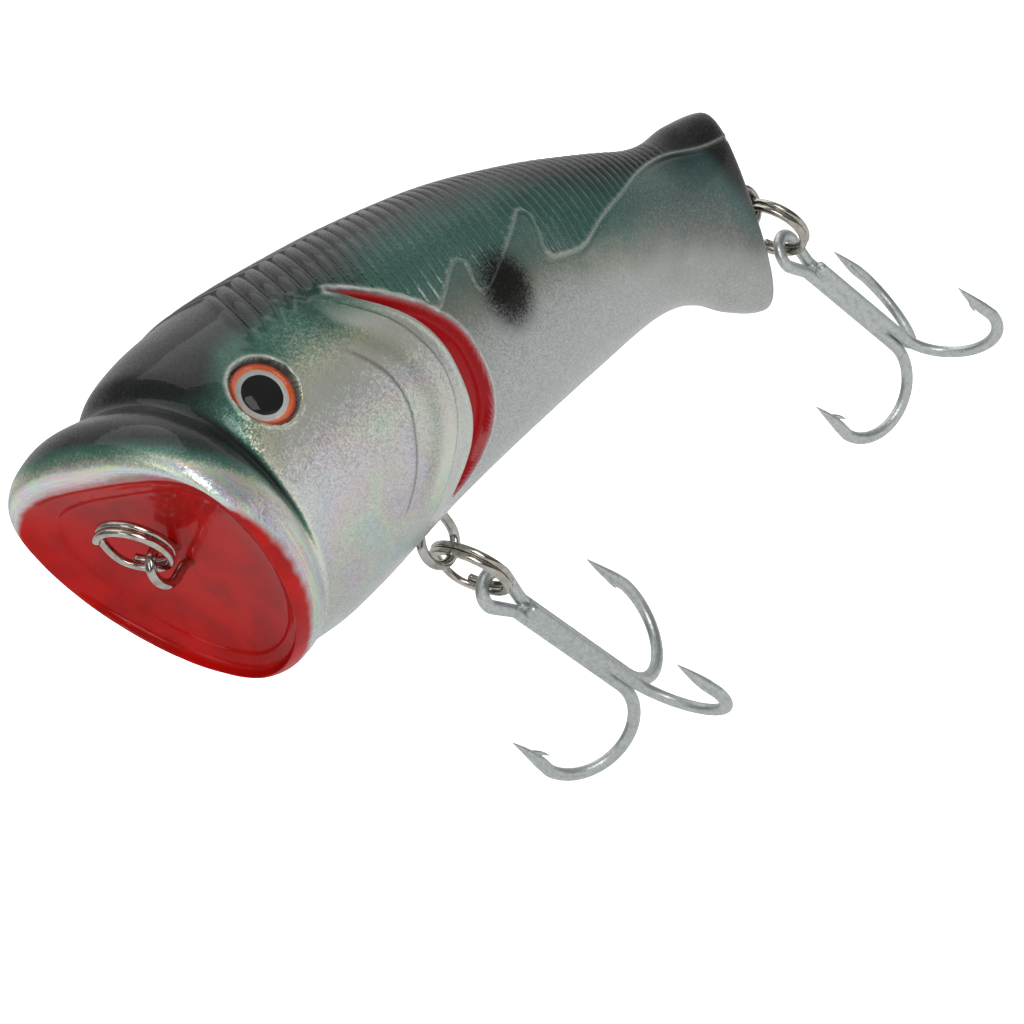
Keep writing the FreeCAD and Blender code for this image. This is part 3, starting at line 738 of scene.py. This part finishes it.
def eye_print(centre, axis):
    # printed foil: black pupil, silver iris, orange rim that reddens at the edge
    g = Graph("eye_foil", (0.6, 0.3, 0.1))
    seat = (np.array(centre) + OFFSET)
    across = g.vector("SUBTRACT", g.place, tuple(seat))
    along = g.vector("DOT_PRODUCT", across, tuple(axis))
    flat = g.vector("SUBTRACT", across, g.vector("SCALE", tuple(axis), scale=along))
    radius = g.vector("LENGTH", flat)
    wobble = g.times(g.minus(g.noise(1.1, 2.0), 0.5), 0.12)
    radius = g.plus(radius, wobble)
    share = g.math("DIVIDE", radius, 4.8)
    colour = g.ramp(share, [(0.0, rgb(8, 8, 8)), (0.555, rgb(6, 6, 6)), (0.57, rgb(232, 232, 226)),
                            (0.69, rgb(214, 215, 208)), (0.71, rgb(236, 106, 8)), (0.80, rgb(226, 80, 6)),
                            (0.90, rgb(188, 44, 16)), (0.97, rgb(120, 18, 12))])
    iris = g.times(g.span(share, 0.555, 0.57), g.span(share, 0.71, 0.69))
    speck = g.cells(7.0).outputs["Color"]
    colour = g.mix(g.times(iris, 0.3), colour, speck, "SOFT_LIGHT")
    metal = g.times(iris, 0.55)
    return g.finish(g.principled(Base_Color=colour, Metallic=metal, Roughness=0.3, Specular=0.1))


def clear_resin():
    g = Graph("eye_resin", (0.9, 0.92, 0.92))
    glass = g.principled(Base_Color=(0.99, 1.0, 1.0, 1.0), Roughness=0.0, IOR=1.33, Transmission=1.0)
    clear = g.node("ShaderNodeBsdfTransparent").outputs["BSDF"]
    path = g.node("ShaderNodeLightPath")
    skip = g.math("MAXIMUM", path.outputs["Is Shadow Ray"], path.outputs["Is Diffuse Ray"])
    mixed = g.node("ShaderNodeMixShader", {"Fac": skip})
    g.feed(mixed.inputs[1], glass)
    g.feed(mixed.inputs[2], clear)
    return g.finish(mixed.outputs["Shader"])


PAINT = paint_material()
PLASTIC = plain_plastic()
STAINLESS = bright_metal("stainless_wire", rgb(196, 194, 188), rgb(160, 157, 151), 0.07)
NICKEL = bright_metal("nickel_ring", rgb(204, 199, 190), rgb(164, 158, 149), 0.06)
TINNED = tinned_metal("tinned_hook")
BRAZE = tinned_metal("braze")
BALLAST = bright_metal("ballast_steel", rgb(120, 120, 124), rgb(90, 88, 88), 0.35, 0.02)
BALL = bright_metal("rattle_steel", rgb(200, 200, 204), rgb(188, 188, 190), 0.06, 0.001)
RESIN = clear_resin()


# ------------------------------------------------------------------ the two half shells

WALL = 2.4
HOLLOW = (26.0, 114.0)
SEAM_GAP = 0.004
ACROSS = 208
PITCH_SCALE = 1.15

# heights of the paint's steps along the body: silver up to, warm grey, teal, deep teal, black from
PAINT_X = (8.0, 14.0, 20.0, 30.0, 45.0, 60.0, 80.0, 100.0, 120.0, 132.0, 141.0)
PAINT_STEPS = (
    (0.0, 3.0, 5.0, 6.0, 4.5, 5.0, 3.5, -2.0, -5.0, -9.0, -12.0),
    (5.0, 9.0, 10.5, 12.0, 10.5, 9.0, 7.5, 2.0, -1.0, -4.0, -7.5),
    (9.0, 13.5, 14.5, 15.8, 14.5, 12.5, 11.0, 5.8, 3.0, 1.2, -1.5),
    (14.2, 18.8, 19.8, 20.8, 21.0, 20.8, 19.0, 12.6, 8.8, 7.0, 5.0),
    (17.0, 21.0, 22.2, 23.6, 24.8, 24.6, 22.8, 17.0, 13.0, 11.2, 10.2),
)
STEP_TONES = (0.25, 0.42, 0.60, 0.80, 0.97)
BELLY_TONE_DROP = 16.0
# on the lip the colour's lower edge runs down into the crease
LIP_EDGE = ((1.2, 1.8, 2.3, 3.0, 3.6, 3.9, 4.1), (12.4, 11.0, 8.0, 3.0, -2.5, -6.5, -11.0))


def paint_masks(p, masks):
    x, y, z = p[..., 0], p[..., 1], p[..., 2]
    g = masks["station"]
    heights = [np.interp(x, PAINT_X, row) for row in PAINT_STEPS]
    heights = [heights[0] - BELLY_TONE_DROP] + heights
    tones = (0.0,) + STEP_TONES
    tone = np.zeros(x.shape)
    for low, high, t0, t1 in zip(heights[:-1], heights[1:], tones[:-1], tones[1:]):
        tone += (t1 - t0) * np.clip((z - low) / (high - low), 0, 1)
    lip_z = z - np.interp(g, *LIP_EDGE)
    lip_tone = np.interp(lip_z, (-14, -2.5, 0.0, 2.2, 5.4, 8.0), (0.0, 0.22, 0.42, 0.62, 0.82, 0.98))
    behind_lip = smooth(3.95, 4.35, g)
    tone = lip_tone * (1 - behind_lip) + tone * behind_lip
    tone = tone + 0.04 * masks["ribbed"] * smooth(0.15, 0.4, tone)
    # painted shade darkens the grooves between the ribs
    tone = tone + 0.30 * masks["rib_groove_shade"] * (1 - tone)
    # painted shade in the crease behind the lip, over its upper half
    tone = tone + 0.5 * masks["crease"] * smooth(0, 12, z) * (1 - tone)
    warm = 0.05 * value_noise(p, 11.0, 21) + 0.04 * value_noise(p, 4.5, 22)
    tone = np.clip(tone + warm * smooth(0.1, 0.5, tone) * (1 - smooth(0.8, 0.95, tone)), 0, 1)
    tone = np.clip(tone + 0.4 * smooth(130.0, 141.5, x) * smooth(-12, -3, z), 0, 1)
    foil = (1 - smooth(3.2, 3.9, g)) * (1 - smooth(0.35, 0.6, tone)) * (1 - masks["mouth"])
    cheek = 0.42 * smooth(10, 16, x) * (1 - smooth(40, 52, x)) * (1 - smooth(0.45, 0.6, tone)) * behind_lip
    plate = 0.9 * masks["plate"] * smooth(8.0, -2.0, z)
    red = np.maximum(masks["mouth"], masks["gill"])
    # pale marks: painted highlight along the rib border, the gill plate's bevel band partly pale paint and
    # partly painted highlight, pale paint on the gill rim, the second plate and the socket rim
    light = np.maximum(0.42 * masks["rib_border_highlight"], masks["gill_rim"])
    light = np.maximum(light, 0.6 * masks["second"] * (1 - smooth(0.5, 0.8, tone)))
    light = np.maximum(light, 0.85 * masks["plate"] * (1 - smooth(0.5, 0.8, tone)) * smooth(-14, -8, z))
    light = np.maximum(light, masks["socket_rim"])
    # dark marks: the cheek and plate lines are dark paint; the band ahead of the plate's edge and the dark
    # socket round the eye are painted shade
    dark = np.maximum(masks["cheek_line"], 0.9 * masks["plate_line"])
    dark = np.maximum(dark, 0.28 * masks["plate_shade"])
    dark = np.maximum(dark, masks["socket"])
    return {
        "tone": tone,
        "along": 2.0 - (1 - smooth(36, 54, x)) - (1 - smooth(92, 122, x)),
        "foil": np.maximum(np.maximum(foil, cheek), plate) * (1 - red),
        "ring": np.clip(g, 0, 4),
        "pale_paint_and_highlight": np.clip(light, 0, 1) * (1 - red),
        "dark_line_and_shade": np.clip(dark, 0, 1) * (1 - red),
        "spot": masks["spot"],
        "gill": masks["gill"],
        "gill_edge": masks["gill_edge"] * 0.9,
        "mouth": masks["mouth"],
    }


def inner_skin():
    # the hollow: the body's own sections moved in by the wall, flat at both ends
    stations = STATIONS[[7, 8, 9, 10, 11]].copy()
    stations[:, LEAN] = 0.0
    stations[0, X], stations[-1, X] = HOLLOW
    stations[:, TOP] -= WALL
    stations[:, BOTTOM] += WALL
    stations[:, HALF] -= WALL
    at = np.linspace(HOLLOW[0], HOLLOW[1], 60)
    rows = pchip(stations[:, X], stations, at)
    rows[:, X] = at
    return section_points(rows, np.linspace(0, 1, 49))


def half_shell(name, side):
    rows, station = body_rows(PITCH_SCALE)
    count = len(rows)
    across = np.linspace(0, 1, ACROSS)
    p = section_points(rows, across)
    lift, masks = detail(p, rows, station)
    p = p + grid_normals(p) * lift[..., None]
    p = press_socket(p, masks)
    paint = paint_masks(p, masks)
    normals = grid_normals(p)
    p[:, 0, 1] = p[:, -1, 1] = -SEAM_GAP
    inner = inner_skin()
    inner[:, 0, 1] = inner[:, -1, 1] = -SEAM_GAP

    vertices = [p.reshape(-1, 3)]
    faces = grid_faces(count, ACROSS)
    total = count * ACROSS
    ends = []
    for row, flip in ((0, False), (count - 1, True)):
        vertices.append(((p[row, 0] + p[row, -1]) / 2)[None])
        ends.append(total)
        for j in range(ACROSS - 1):
            a, b = row * ACROSS + j, row * ACROSS + j + 1
            faces.append((b, a, total) if not flip else (a, b, total))
        total += 1
    outer_faces = len(faces)

    base = total
    n_rows, n_cols = inner.shape[:2]
    vertices.append(inner.reshape(-1, 3))
    faces += grid_faces(n_rows, n_cols, start=base, flip=True)
    total += n_rows * n_cols
    inner_ends = []
    for row, flip in ((0, True), (n_rows - 1, False)):
        vertices.append(((inner[row, 0] + inner[row, -1]) / 2)[None])
        inner_ends.append(total)
        for j in range(n_cols - 1):
            a, b = base + row * n_cols + j, base + row * n_cols + j + 1
            faces.append((b, a, total) if not flip else (a, b, total))
        total += 1
    vertices = np.vstack(vertices)

    outer_loop = ([i * ACROSS for i in range(count)] + [ends[1]]
                  + [i * ACROSS + ACROSS - 1 for i in reversed(range(count))] + [ends[0]])
    inner_loop = ([base + i * n_cols for i in range(n_rows)] + [inner_ends[1]]
                  + [base + i * n_cols + n_cols - 1 for i in reversed(range(n_rows))] + [inner_ends[0]])
    order = outer_loop + inner_loop
    flat = [[Vector((vertices[i][0], vertices[i][2], 0)) for i in loop]
            for loop in (outer_loop, inner_loop)]
    for a, b, c in tessellate_polygon(flat):
        ia, ib, ic = order[a], order[b], order[c]
        ab, ac = vertices[ib] - vertices[ia], vertices[ic] - vertices[ia]
        facing = ab[2] * ac[0] - ab[0] * ac[2]
        faces.append((ia, ib, ic) if facing > 0 else (ia, ic, ib))

    if side == "right":
        vertices = vertices * (1, -1, 1)
        normals = normals * (1, -1, 1)
        faces = [face[::-1] for face in faces]
    made = new_object(name, vertices, faces, PAINT)
    mesh = made.data
    mesh.materials.append(PLASTIC)
    index = np.zeros(len(mesh.polygons), np.int32)
    index[outer_faces:] = 1
    mesh.polygons.foreach_set("material_index", index)
    smooth_face = np.ones(len(mesh.polygons), bool)
    smooth_face[outer_faces:] = False
    mesh.polygons.foreach_set("use_smooth", smooth_face)

    vertex_normals = np.zeros((len(vertices), 3))
    vertex_normals[:count * ACROSS] = normals.reshape(-1, 3)
    vertex_normals[ends[0]] = normals[0, ACROSS // 2]
    vertex_normals[ends[1]] = normals[-1, ACROSS // 2]
    loop_vertex = np.empty(len(mesh.loops), np.int32)
    mesh.loops.foreach_get("vertex_index", loop_vertex)
    loop_total = np.empty(len(mesh.polygons), np.int32)
    mesh.polygons.foreach_get("loop_total", loop_total)
    face_normals = np.empty(len(mesh.polygons) * 3)
    mesh.polygons.foreach_get("normal", face_normals)
    per_face = np.repeat(face_normals.reshape(-1, 3), loop_total, axis=0)
    outer_loops = int(loop_total[:outer_faces].sum())
    per_face[:outer_loops] = vertex_normals[loop_vertex[:outer_loops]]
    mesh.normals_split_custom_set(per_face.tolist())

    for mask_name, values in paint.items():
        data = np.zeros(len(vertices), np.float32)
        data[:count * ACROSS] = values.reshape(-1)
        data[ends[0]] = values[0, 0]
        data[ends[1]] = values[-1, 0]
        layer = mesh.attributes.new(mask_name, "FLOAT", "POINT")
        layer.data.foreach_set("value", data)
    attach(made, "lure_body")
    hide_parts(name)
    return made


half_shell("left_body_shell", "left").name = "left_shell"
half_shell("right_body_shell", "right").name = "right_shell"


# ------------------------------------------------------------------ wire hangers

def loop_points(centre_x, centre_z, radius, neck, leg, out):
    # a loop of wire in the centre plane: a half turn, and two legs that draw in to the neck
    across = np.array((-out[2], 0.0, out[0]))
    centre = np.array((centre_x, 0.0, centre_z))
    steps = np.linspace(0, leg, 24)[1:]
    widths = radius - (radius - neck) * smooth(0.0, 1.3 * radius, steps)
    points = [centre - out * s + across * w for s, w in zip(steps[::-1], widths[::-1])]
    for angle in np.linspace(0, math.pi, 33):
        points.append(centre + across * radius * math.cos(angle) + out * radius * math.sin(angle))
    points += [centre - out * s - across * w for s, w in zip(steps, widths)]
    return np.array(points)


HANGERS = (
    ("line_tie_hanger", 1.7, -4.8, 2.6, 1.4, 13.2, (-1, 0, 0)),
    ("belly_hanger", 51.4, -22.6, 3.6, 2.3, 9.8, (0, 0, -1)),
    ("tail_hanger", 144.1, -3.6, 3.0, 2.7, 14.9, (1, 0, 0)),
)
WIRE_R = 0.75

for hanger_name, loop_x, loop_z, loop_r, neck_r, leg_length, direction in HANGERS:
    line = loop_points(loop_x, loop_z, loop_r, neck_r, leg_length, np.array(direction, float))
    # drawn wire flattens a little where it is bent hardest
    turn_share = bell(np.arange(len(line)) - len(line) / 2, 12.0)
    made = new_object(hanger_name.replace("hanger", "loop"),
                      *tube(line, WIRE_R * (1 + 0.05 * turn_share), WIRE_R * (1 - 0.05 * turn_share),
                            side_axis=(0, 1, 0), sides=24), STAINLESS)
    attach(outward(made), "lure_body")
    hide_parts(hanger_name)


# ------------------------------------------------------------------ split rings

RING_WIRE = 1.12
RING_LAY = 1.1
END_GAP = 42.0


def coil(radius):
    # two turns lying side by side; they change places across the short gap between the wire's ends
    angle = np.radians(np.linspace(END_GAP, 720 - END_GAP, 260))
    cross = smooth(360 - END_GAP + 4, 360 + END_GAP - 4, np.degrees(angle)) - 0.5
    return np.stack([radius * np.cos(angle), radius * np.sin(angle), RING_LAY * cross], 1)


def box_centre(node):
    low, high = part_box(node)
    return (np.array(low) + np.array(high)) / 2 / MM - OFFSET


def ring_frame(along, roll):
    # local X across the lure, local Y back towards the loop, local Z the ring's axis; a ring lies
    # rolled a little about its own long way
    across = np.array((0.0, math.cos(roll), 0.0)) + np.cross(along, (0.0, 1.0, 0.0)) * math.sin(roll)
    return np.stack([across, -along, np.cross(along, across)], 1)


nose_along = box_centre("nose_split_ring") - NOSE_HANG
nose_along[1] = 0.0
nose_along /= np.linalg.norm(nose_along)
belly_axis = np.array(JOINTS["belly_ring_swing"]["axis"])
tail_axis = np.array(JOINTS["tail_ring_swing"]["axis"])
RINGS = (
    ("nose_split_ring", "nose_ring", 5.05, nose_along, 0.0),
    ("belly_split_ring", "belly_ring", 6.0, np.array((belly_axis[2], 0, -belly_axis[0])), 10.0),
    ("tail_split_ring", "tail_ring", 6.0, np.array((tail_axis[2], 0, -tail_axis[0])), 6.0),
)

for ring_name, ring_body, ring_radius, along, roll in RINGS:
    turn = ring_frame(along, math.radians(roll))
    local = coil(ring_radius)
    centre = box_centre(ring_name)
    vertices, faces = tube(local, RING_WIRE * 0.49, RING_WIRE * 0.53, (0, 0, 1), sides=22, power=2.7)
    made = new_object(ring_name.replace("_split", ""), vertices @ turn.T + centre, faces, NICKEL)
    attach(outward(made), ring_body)
    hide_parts(ring_name)


# ------------------------------------------------------------------ treble hooks

HOOK_R = 1.0
SHANK_OFFSET = 1.18
HOOK_LENGTH = 39.0
BEND_R = 8.6
EYE_R = 2.7
EYE_NECK = 6.0
POINT_HEIGHT = 17.0
SPEAR_LEAN = math.radians(6.0)
SPEAR_LENGTH = 7.0
EYE_DROP = 0.35


def polar(radius, degrees, z):
    angle = math.radians(degrees)
    return np.array((radius * math.cos(angle), radius * math.sin(angle), z))


def hook_leg(degrees):
    # shank, round bend and spear of one hook, then its barb
    straight = -(HOOK_LENGTH - BEND_R)
    line = [polar(SHANK_OFFSET, degrees, z) for z in np.linspace(-EYE_NECK, straight, 40)[:-1]]
    for angle in np.linspace(0, math.pi - SPEAR_LEAN, 56):
        out = SHANK_OFFSET + BEND_R - BEND_R * math.cos(angle)
        line.append(polar(out, degrees, straight - BEND_R * math.sin(angle)))
    toward = polar(-math.sin(SPEAR_LEAN), degrees, math.cos(SPEAR_LEAN))
    end_bend = line[-1]
    reach = (POINT_HEIGHT - HOOK_LENGTH - end_bend[2]) / math.cos(SPEAR_LEAN)
    steps = np.concatenate([np.linspace(0, reach - SPEAR_LENGTH, 10)[1:],
                            reach - SPEAR_LENGTH + SPEAR_LENGTH * np.linspace(0, 1, 26)[1:]])
    inward = polar(-1, degrees, 0)
    bulge = []
    for step in steps:
        # the point is ground from the inside, so its outer edge stays straight
        share = max(0.0, (step - (reach - SPEAR_LENGTH)) / SPEAR_LENGTH)
        bulge.append(share)
        line.append(end_bend + toward * step - inward * HOOK_R * 0.55 * share ** 1.6)
    line = np.array(line)
    count = len(line)
    taper = np.ones(count)
    taper[-len(bulge):] = 1 - 0.93 * np.array(bulge) ** 1.35
    along_bend = bell(np.arange(count) - 68, 26.0)
    # the bend is forged a little flat
    across = np.cross(inward, (0, 0, 1))
    thin = HOOK_R * (1 - 0.12 * along_bend) * taper
    deep = HOOK_R * (1 + 0.07 * along_bend) * taper
    hook = tube(line, thin, deep, across, sides=24)
    # the barb is a short spike cut up from the inner side of the spear
    neck = end_bend + toward * (reach - SPEAR_LENGTH)
    root = neck + toward * 2.9 + inward * 0.1
    tip = neck - toward * 0.3 + inward * 1.75
    places = np.linspace(0, 1, 14)
    barb_line = [root + (tip - root) * t + inward * 0.22 * math.sin(math.pi * t) for t in places]
    barb_size = 0.06 + 0.44 * (1 - places ** 1.5)
    return merged([hook, tube(barb_line, barb_size * 0.75, barb_size, across, sides=14)])


def hook_eye():
    # one wire goes up from the first shank, round the eye and down into the second
    x = SHANK_OFFSET * math.cos(math.radians(30))
    y = SHANK_OFFSET * math.sin(math.radians(30))
    points = [(-x, y, -EYE_NECK - 0.4), (-x, y, -EYE_NECK + 0.2), (-x * 1.1, y, -EYE_NECK + 1.1)]
    for degrees in (207, 180, 150, 120, 90, 60, 30, 0, -27):
        angle = math.radians(degrees)
        points.append((EYE_R * math.cos(angle), y, EYE_R * math.sin(angle)))
    points += [(x * 1.1, y, -EYE_NECK + 1.1), (x, y, -EYE_NECK + 0.2), (x, y, -EYE_NECK - 0.4)]
    line = catmull3(points, 9)
    flat = smooth(-EYE_NECK, -1.0, line[:, 2])
    return tube(line, HOOK_R * (1 - 0.10 * flat), HOOK_R * (1 + 0.08 * flat), side_axis=(0, 1, 0), sides=24)


def catmull3(points, per_span):
    flat = catmull([p[:2] for p in points], per_span)
    tall = catmull([p[1:] for p in points], per_span)
    return np.column_stack([flat, tall[:, 1]])


def braze_run():
    # solder drawn between the three shanks: full in the valleys, thin over the wires, ragged ends
    rows, sides = 90, 72
    z = np.linspace(-EYE_NECK + 1.0, -29.2, rows)
    angle = np.linspace(0, 2 * math.pi, sides, endpoint=False)
    lobes = np.cos(3 * (angle - math.radians(30)))
    share = np.minimum((z[0] - z) / 4.2, (z - z[-1]) / 4.5)
    full = smooth(0.0, 1.0, share)
    places = np.stack(np.broadcast_arrays(np.cos(angle)[None], np.sin(angle)[None], z[:, None]), -1)
    uneven = 0.10 * value_noise(places * (1.6, 1.6, 1.0), 1.7, 31)
    full = full[:, None]
    radius = (0.64 + 1.14 * full) + (0.12 + 0.20 * full) * lobes[None] + uneven * full
    points = places * np.stack([radius, radius, np.ones_like(radius)], -1)
    vertices = list(points.reshape(-1, 3)) + [np.array((0, 0, z[0] + 0.3)), np.array((0, 0, z[-1] - 0.3))]
    faces = grid_faces(rows, sides, wrap=True)
    last = (rows - 1) * sides
    for j in range(sides):
        k = (j + 1) % sides
        faces.append((k, j, rows * sides))
        faces.append((last + j, last + k, rows * sides + 1))
    return np.array(vertices), faces


def turn_about_y(degrees):
    a = math.radians(degrees)
    return np.array(((math.cos(a), 0, math.sin(a)), (0, 1, 0), (-math.sin(a), 0, math.cos(a))))


def turn_about_z(degrees):
    a = math.radians(degrees)
    return np.array(((math.cos(a), -math.sin(a), 0), (math.sin(a), math.cos(a), 0), (0, 0, 1)))


TREBLES = (
    ("front", "front_treble", "front_treble_swing", 39.6, -10.0),
    ("rear", "rear_treble", "rear_treble_swing", 40.7, 7.0),
)

for where, hook_body, hook_joint, lean, spin in TREBLES:
    turn = turn_about_y(-lean) @ turn_about_z(spin)
    pivot = np.array(JOINTS[hook_joint]["pos_m"]) / MM - OFFSET
    origin = pivot + turn @ np.array((0, 0, -EYE_DROP))
    pieces = (
        ("double_hook", merged([hook_leg(150), hook_leg(30), hook_eye()]), TINNED, "tinned_hook"),
        ("single_hook", hook_leg(270), TINNED, "tinned_hook"),
        ("hook_braze", braze_run(), BRAZE, "braze"),
    )
    for kind, (vertices, faces), material, slot_name in pieces:
        node = "%s_%s" % (where, kind)
        made = new_object(node + "_wire" if kind != "hook_braze" else node + "_run",
                          vertices @ turn.T + origin, faces, material)
        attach(outward(made), hook_body)
        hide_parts(node)


# ------------------------------------------------------------------ eyes

def turned(profile, centre, axis, sides=96):
    # a solid of revolution from (radius, height) pairs, from the middle of the back to the front
    axis = np.asarray(axis)
    side = np.cross(axis, (0, 0, 1.0))
    side /= np.linalg.norm(side)
    other = np.cross(axis, side)
    angle = np.linspace(0, 2 * math.pi, sides, endpoint=False)
    rings = [centre + axis * h + r * (np.cos(angle)[:, None] * side + np.sin(angle)[:, None] * other)
             for r, h in profile[1:-1]]
    vertices = np.vstack(rings + [[centre + axis * profile[0][1]], [centre + axis * profile[-1][1]]])
    faces = grid_faces(len(rings), sides, wrap=True)
    back, front = len(rings) * sides, len(rings) * sides + 1
    last = (len(rings) - 1) * sides
    for j in range(sides):
        k = (j + 1) % sides
        faces.append((k, j, back))
        faces.append((last + j, last + k, front))
    return vertices, faces


EYE_SEAT = 2.38
FOIL_R, FOIL_T = 4.8, 0.4
DOME_R, DOME_RISE = 4.7, 2.6

for side_name, sign in (("left", 1), ("right", -1)):
    axis = EYE_OUT * (1, sign, 1)
    seat = EYE_CENTRE * (1, sign, 1) - axis * EYE_SEAT
    edge = 0.06
    back = [(r, 0) for r in (0, 1.2, 2.4, 3.6, FOIL_R - edge)]
    front = [(r, FOIL_T) for r in (FOIL_R - edge, 3.6, 2.4, 1.2, 0)]
    profile = back + [(FOIL_R, edge), (FOIL_R, FOIL_T - edge)] + front
    made = new_object(side_name + "_eye_print", *turned(profile, seat, axis), eye_print(seat, axis))
    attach(outward(made), "lure_body")
    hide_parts(side_name + "_eye_foil")

    base = FOIL_T + 0.03
    shoulder = 0.30
    profile = [(0, base)] + [(r, base) for r in (1.5, 3.0, DOME_R - 0.12)] + [(DOME_R, base + 0.12)]
    for t in np.linspace(0, 1, 22)[:-1]:
        angle = t * math.pi / 2
        rise = shoulder + (DOME_RISE - shoulder) * math.sin(angle)
        profile.append((DOME_R * math.cos(angle) ** 0.92, base + rise))
    profile.append((0, base + DOME_RISE))
    made = new_object(side_name + "_eye_lens", *turned(profile, seat, axis), RESIN)
    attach(outward(made), "lure_body")
    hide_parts(side_name + "_eye_dome")


# ------------------------------------------------------------------ hidden pieces keep their CAD shape

HIDDEN = (
    ("belly_ballast", BALLAST, "ballast_steel"),
    ("tail_ballast", BALLAST, "ballast_steel"),
    ("rattle_ball", BALL, "rattle_steel"),
)
for node, material, slot_name in HIDDEN:
    inner = frame["nodes"][node]
    inner.data.materials.clear()
    inner.data.materials.append(material)


# ------------------------------------------------------------------ floor, light and camera

FLOOR_DROP = 0.020
low_corner, high_corner = cad_bounds[0], cad_bounds[1]
floor_z = low_corner[2] - FLOOR_DROP

floor_mesh = bpy.data.meshes.new("floor")
bm = bmesh.new()
bmesh.ops.create_grid(bm, x_segments=8, y_segments=8, size=6.0)
bm.to_mesh(floor_mesh)
bm.free()
floor = bpy.data.objects.new("floor", floor_mesh)
floor.location = (0, 0, floor_z)
bpy.context.scene.collection.objects.link(floor)
g = Graph("floor", (0.9, 0.9, 0.9))
pale = g.mix(g.noise(0.01, 2.0), (0.86, 0.86, 0.86, 1.0), (0.88, 0.88, 0.88, 1.0))
diffuse = g.node("ShaderNodeBsdfDiffuse", {"Color": pale})
camera_ray = g.node("ShaderNodeLightPath").outputs["Is Camera Ray"]
glow_level = g.span(camera_ray, 0.0, 1.0, 0.10, 1.0)
glow = g.node("ShaderNodeEmission", {"Color": (1, 1, 1, 1), "Strength": glow_level})
both = g.node("ShaderNodeAddShader")
g.feed(both.inputs[0], diffuse.outputs["BSDF"])
g.feed(both.inputs[1], glow.outputs["Emission"])
floor_mesh.materials.append(g.finish(both.outputs["Shader"]))


def studio_world():
    # a white backdrop behind the lure, a darker room round the other sides, a pale ceiling
    world = bpy.data.worlds.new("studio")
    world.use_nodes = True
    tree = world.node_tree
    tree.nodes.clear()

    def node(kind, **settings):
        made = tree.nodes.new(kind)
        for key, value in settings.items():
            setattr(made, key, value)
        return made

    def span(socket, low, high, out_low, out_high):
        made = node("ShaderNodeMapRange", interpolation_type="SMOOTHSTEP")
        tree.links.new(socket, made.inputs["Value"])
        limits = {"From Min": low, "From Max": high, "To Min": out_low, "To Max": out_high}
        for key, value in limits.items():
            made.inputs[key].default_value = value
        return made.outputs["Result"]

    direction = node("ShaderNodeTexCoord").outputs["Generated"]
    split = node("ShaderNodeSeparateXYZ")
    tree.links.new(direction, split.inputs[0])
    ahead = node("ShaderNodeVectorMath", operation="DOT_PRODUCT")
    tree.links.new(direction, ahead.inputs[0])
    ahead.inputs[1].default_value = (0.728, 0.685, 0.0)
    room = span(split.outputs["Z"], 0.0, 0.9, ROOM_LEVEL, CEILING_LEVEL)
    backdrop = span(ahead.outputs["Value"], 0.30, 0.75, 0.0, 1.0)
    level = node("ShaderNodeMix", data_type="FLOAT")
    tree.links.new(backdrop, level.inputs[0])
    tree.links.new(room, level.inputs[2])
    level.inputs[3].default_value = BACKDROP_LEVEL
    seen = node("ShaderNodeMix", data_type="FLOAT")
    tree.links.new(node("ShaderNodeLightPath").outputs["Is Camera Ray"], seen.inputs[0])
    tree.links.new(level.outputs[0], seen.inputs[2])
    seen.inputs[3].default_value = 1.1
    background = node("ShaderNodeBackground")
    background.inputs["Color"].default_value = (1.0, 1.0, 1.0, 1.0)
    tree.links.new(seen.outputs[0], background.inputs["Strength"])
    out = node("ShaderNodeOutputWorld")
    tree.links.new(background.outputs["Background"], out.inputs["Surface"])
    bpy.context.scene.world = world


ROOM_LEVEL = 0.09
CEILING_LEVEL = 0.32
BACKDROP_LEVEL = 0.62
studio_world()

TARGET = Vector((OFFSET + (70.0, 0.0, -5.0)) * MM)


def softbox(name, place, width, height, power):
    light = bpy.data.lights.new(name, "AREA")
    light.shape = "RECTANGLE"
    light.size = width
    light.size_y = height
    light.energy = power
    made = bpy.data.objects.new(name, light)
    made.location = TARGET + Vector(place)
    made.rotation_euler = (-Vector(place)).to_track_quat("-Z", "Y").to_euler()
    bpy.context.scene.collection.objects.link(made)
    return made


softbox("overhead_softbox", (0.05, 0.15, 0.85), 1.1, 0.8, 2.6)
softbox("left_softbox", (-0.45, -0.80, 0.45), 0.45, 0.6, 2.9)
softbox("front_softbox", (-0.95, -0.10, 0.30), 0.35, 0.5, 0.8)

camera_data = bpy.data.cameras.new("camera")
camera_data.lens = 122.6
camera_data.sensor_width = 36.0
camera_data.clip_start = 0.01
camera_data.clip_end = 50.0
camera = bpy.data.objects.new("camera", camera_data)
CAMERA_AT = np.array((-295.9, -342.7, 88.6)) + OFFSET
RIGHT = Vector((0.589, -0.736, -0.333)).normalized()
BACK = Vector((-0.710, -0.668, 0.222))
BACK = (BACK - RIGHT * BACK.dot(RIGHT)).normalized()
UP = BACK.cross(RIGHT)
pose = Matrix((RIGHT, UP, BACK)).transposed().to_4x4()
pose.translation = Vector(CAMERA_AT * MM)
camera.matrix_world = pose
bpy.context.scene.collection.objects.link(camera)
bpy.context.scene.camera = camera
bpy.context.scene.view_settings.view_transform = "Standard"
bpy.context.scene.view_settings.look = "None"
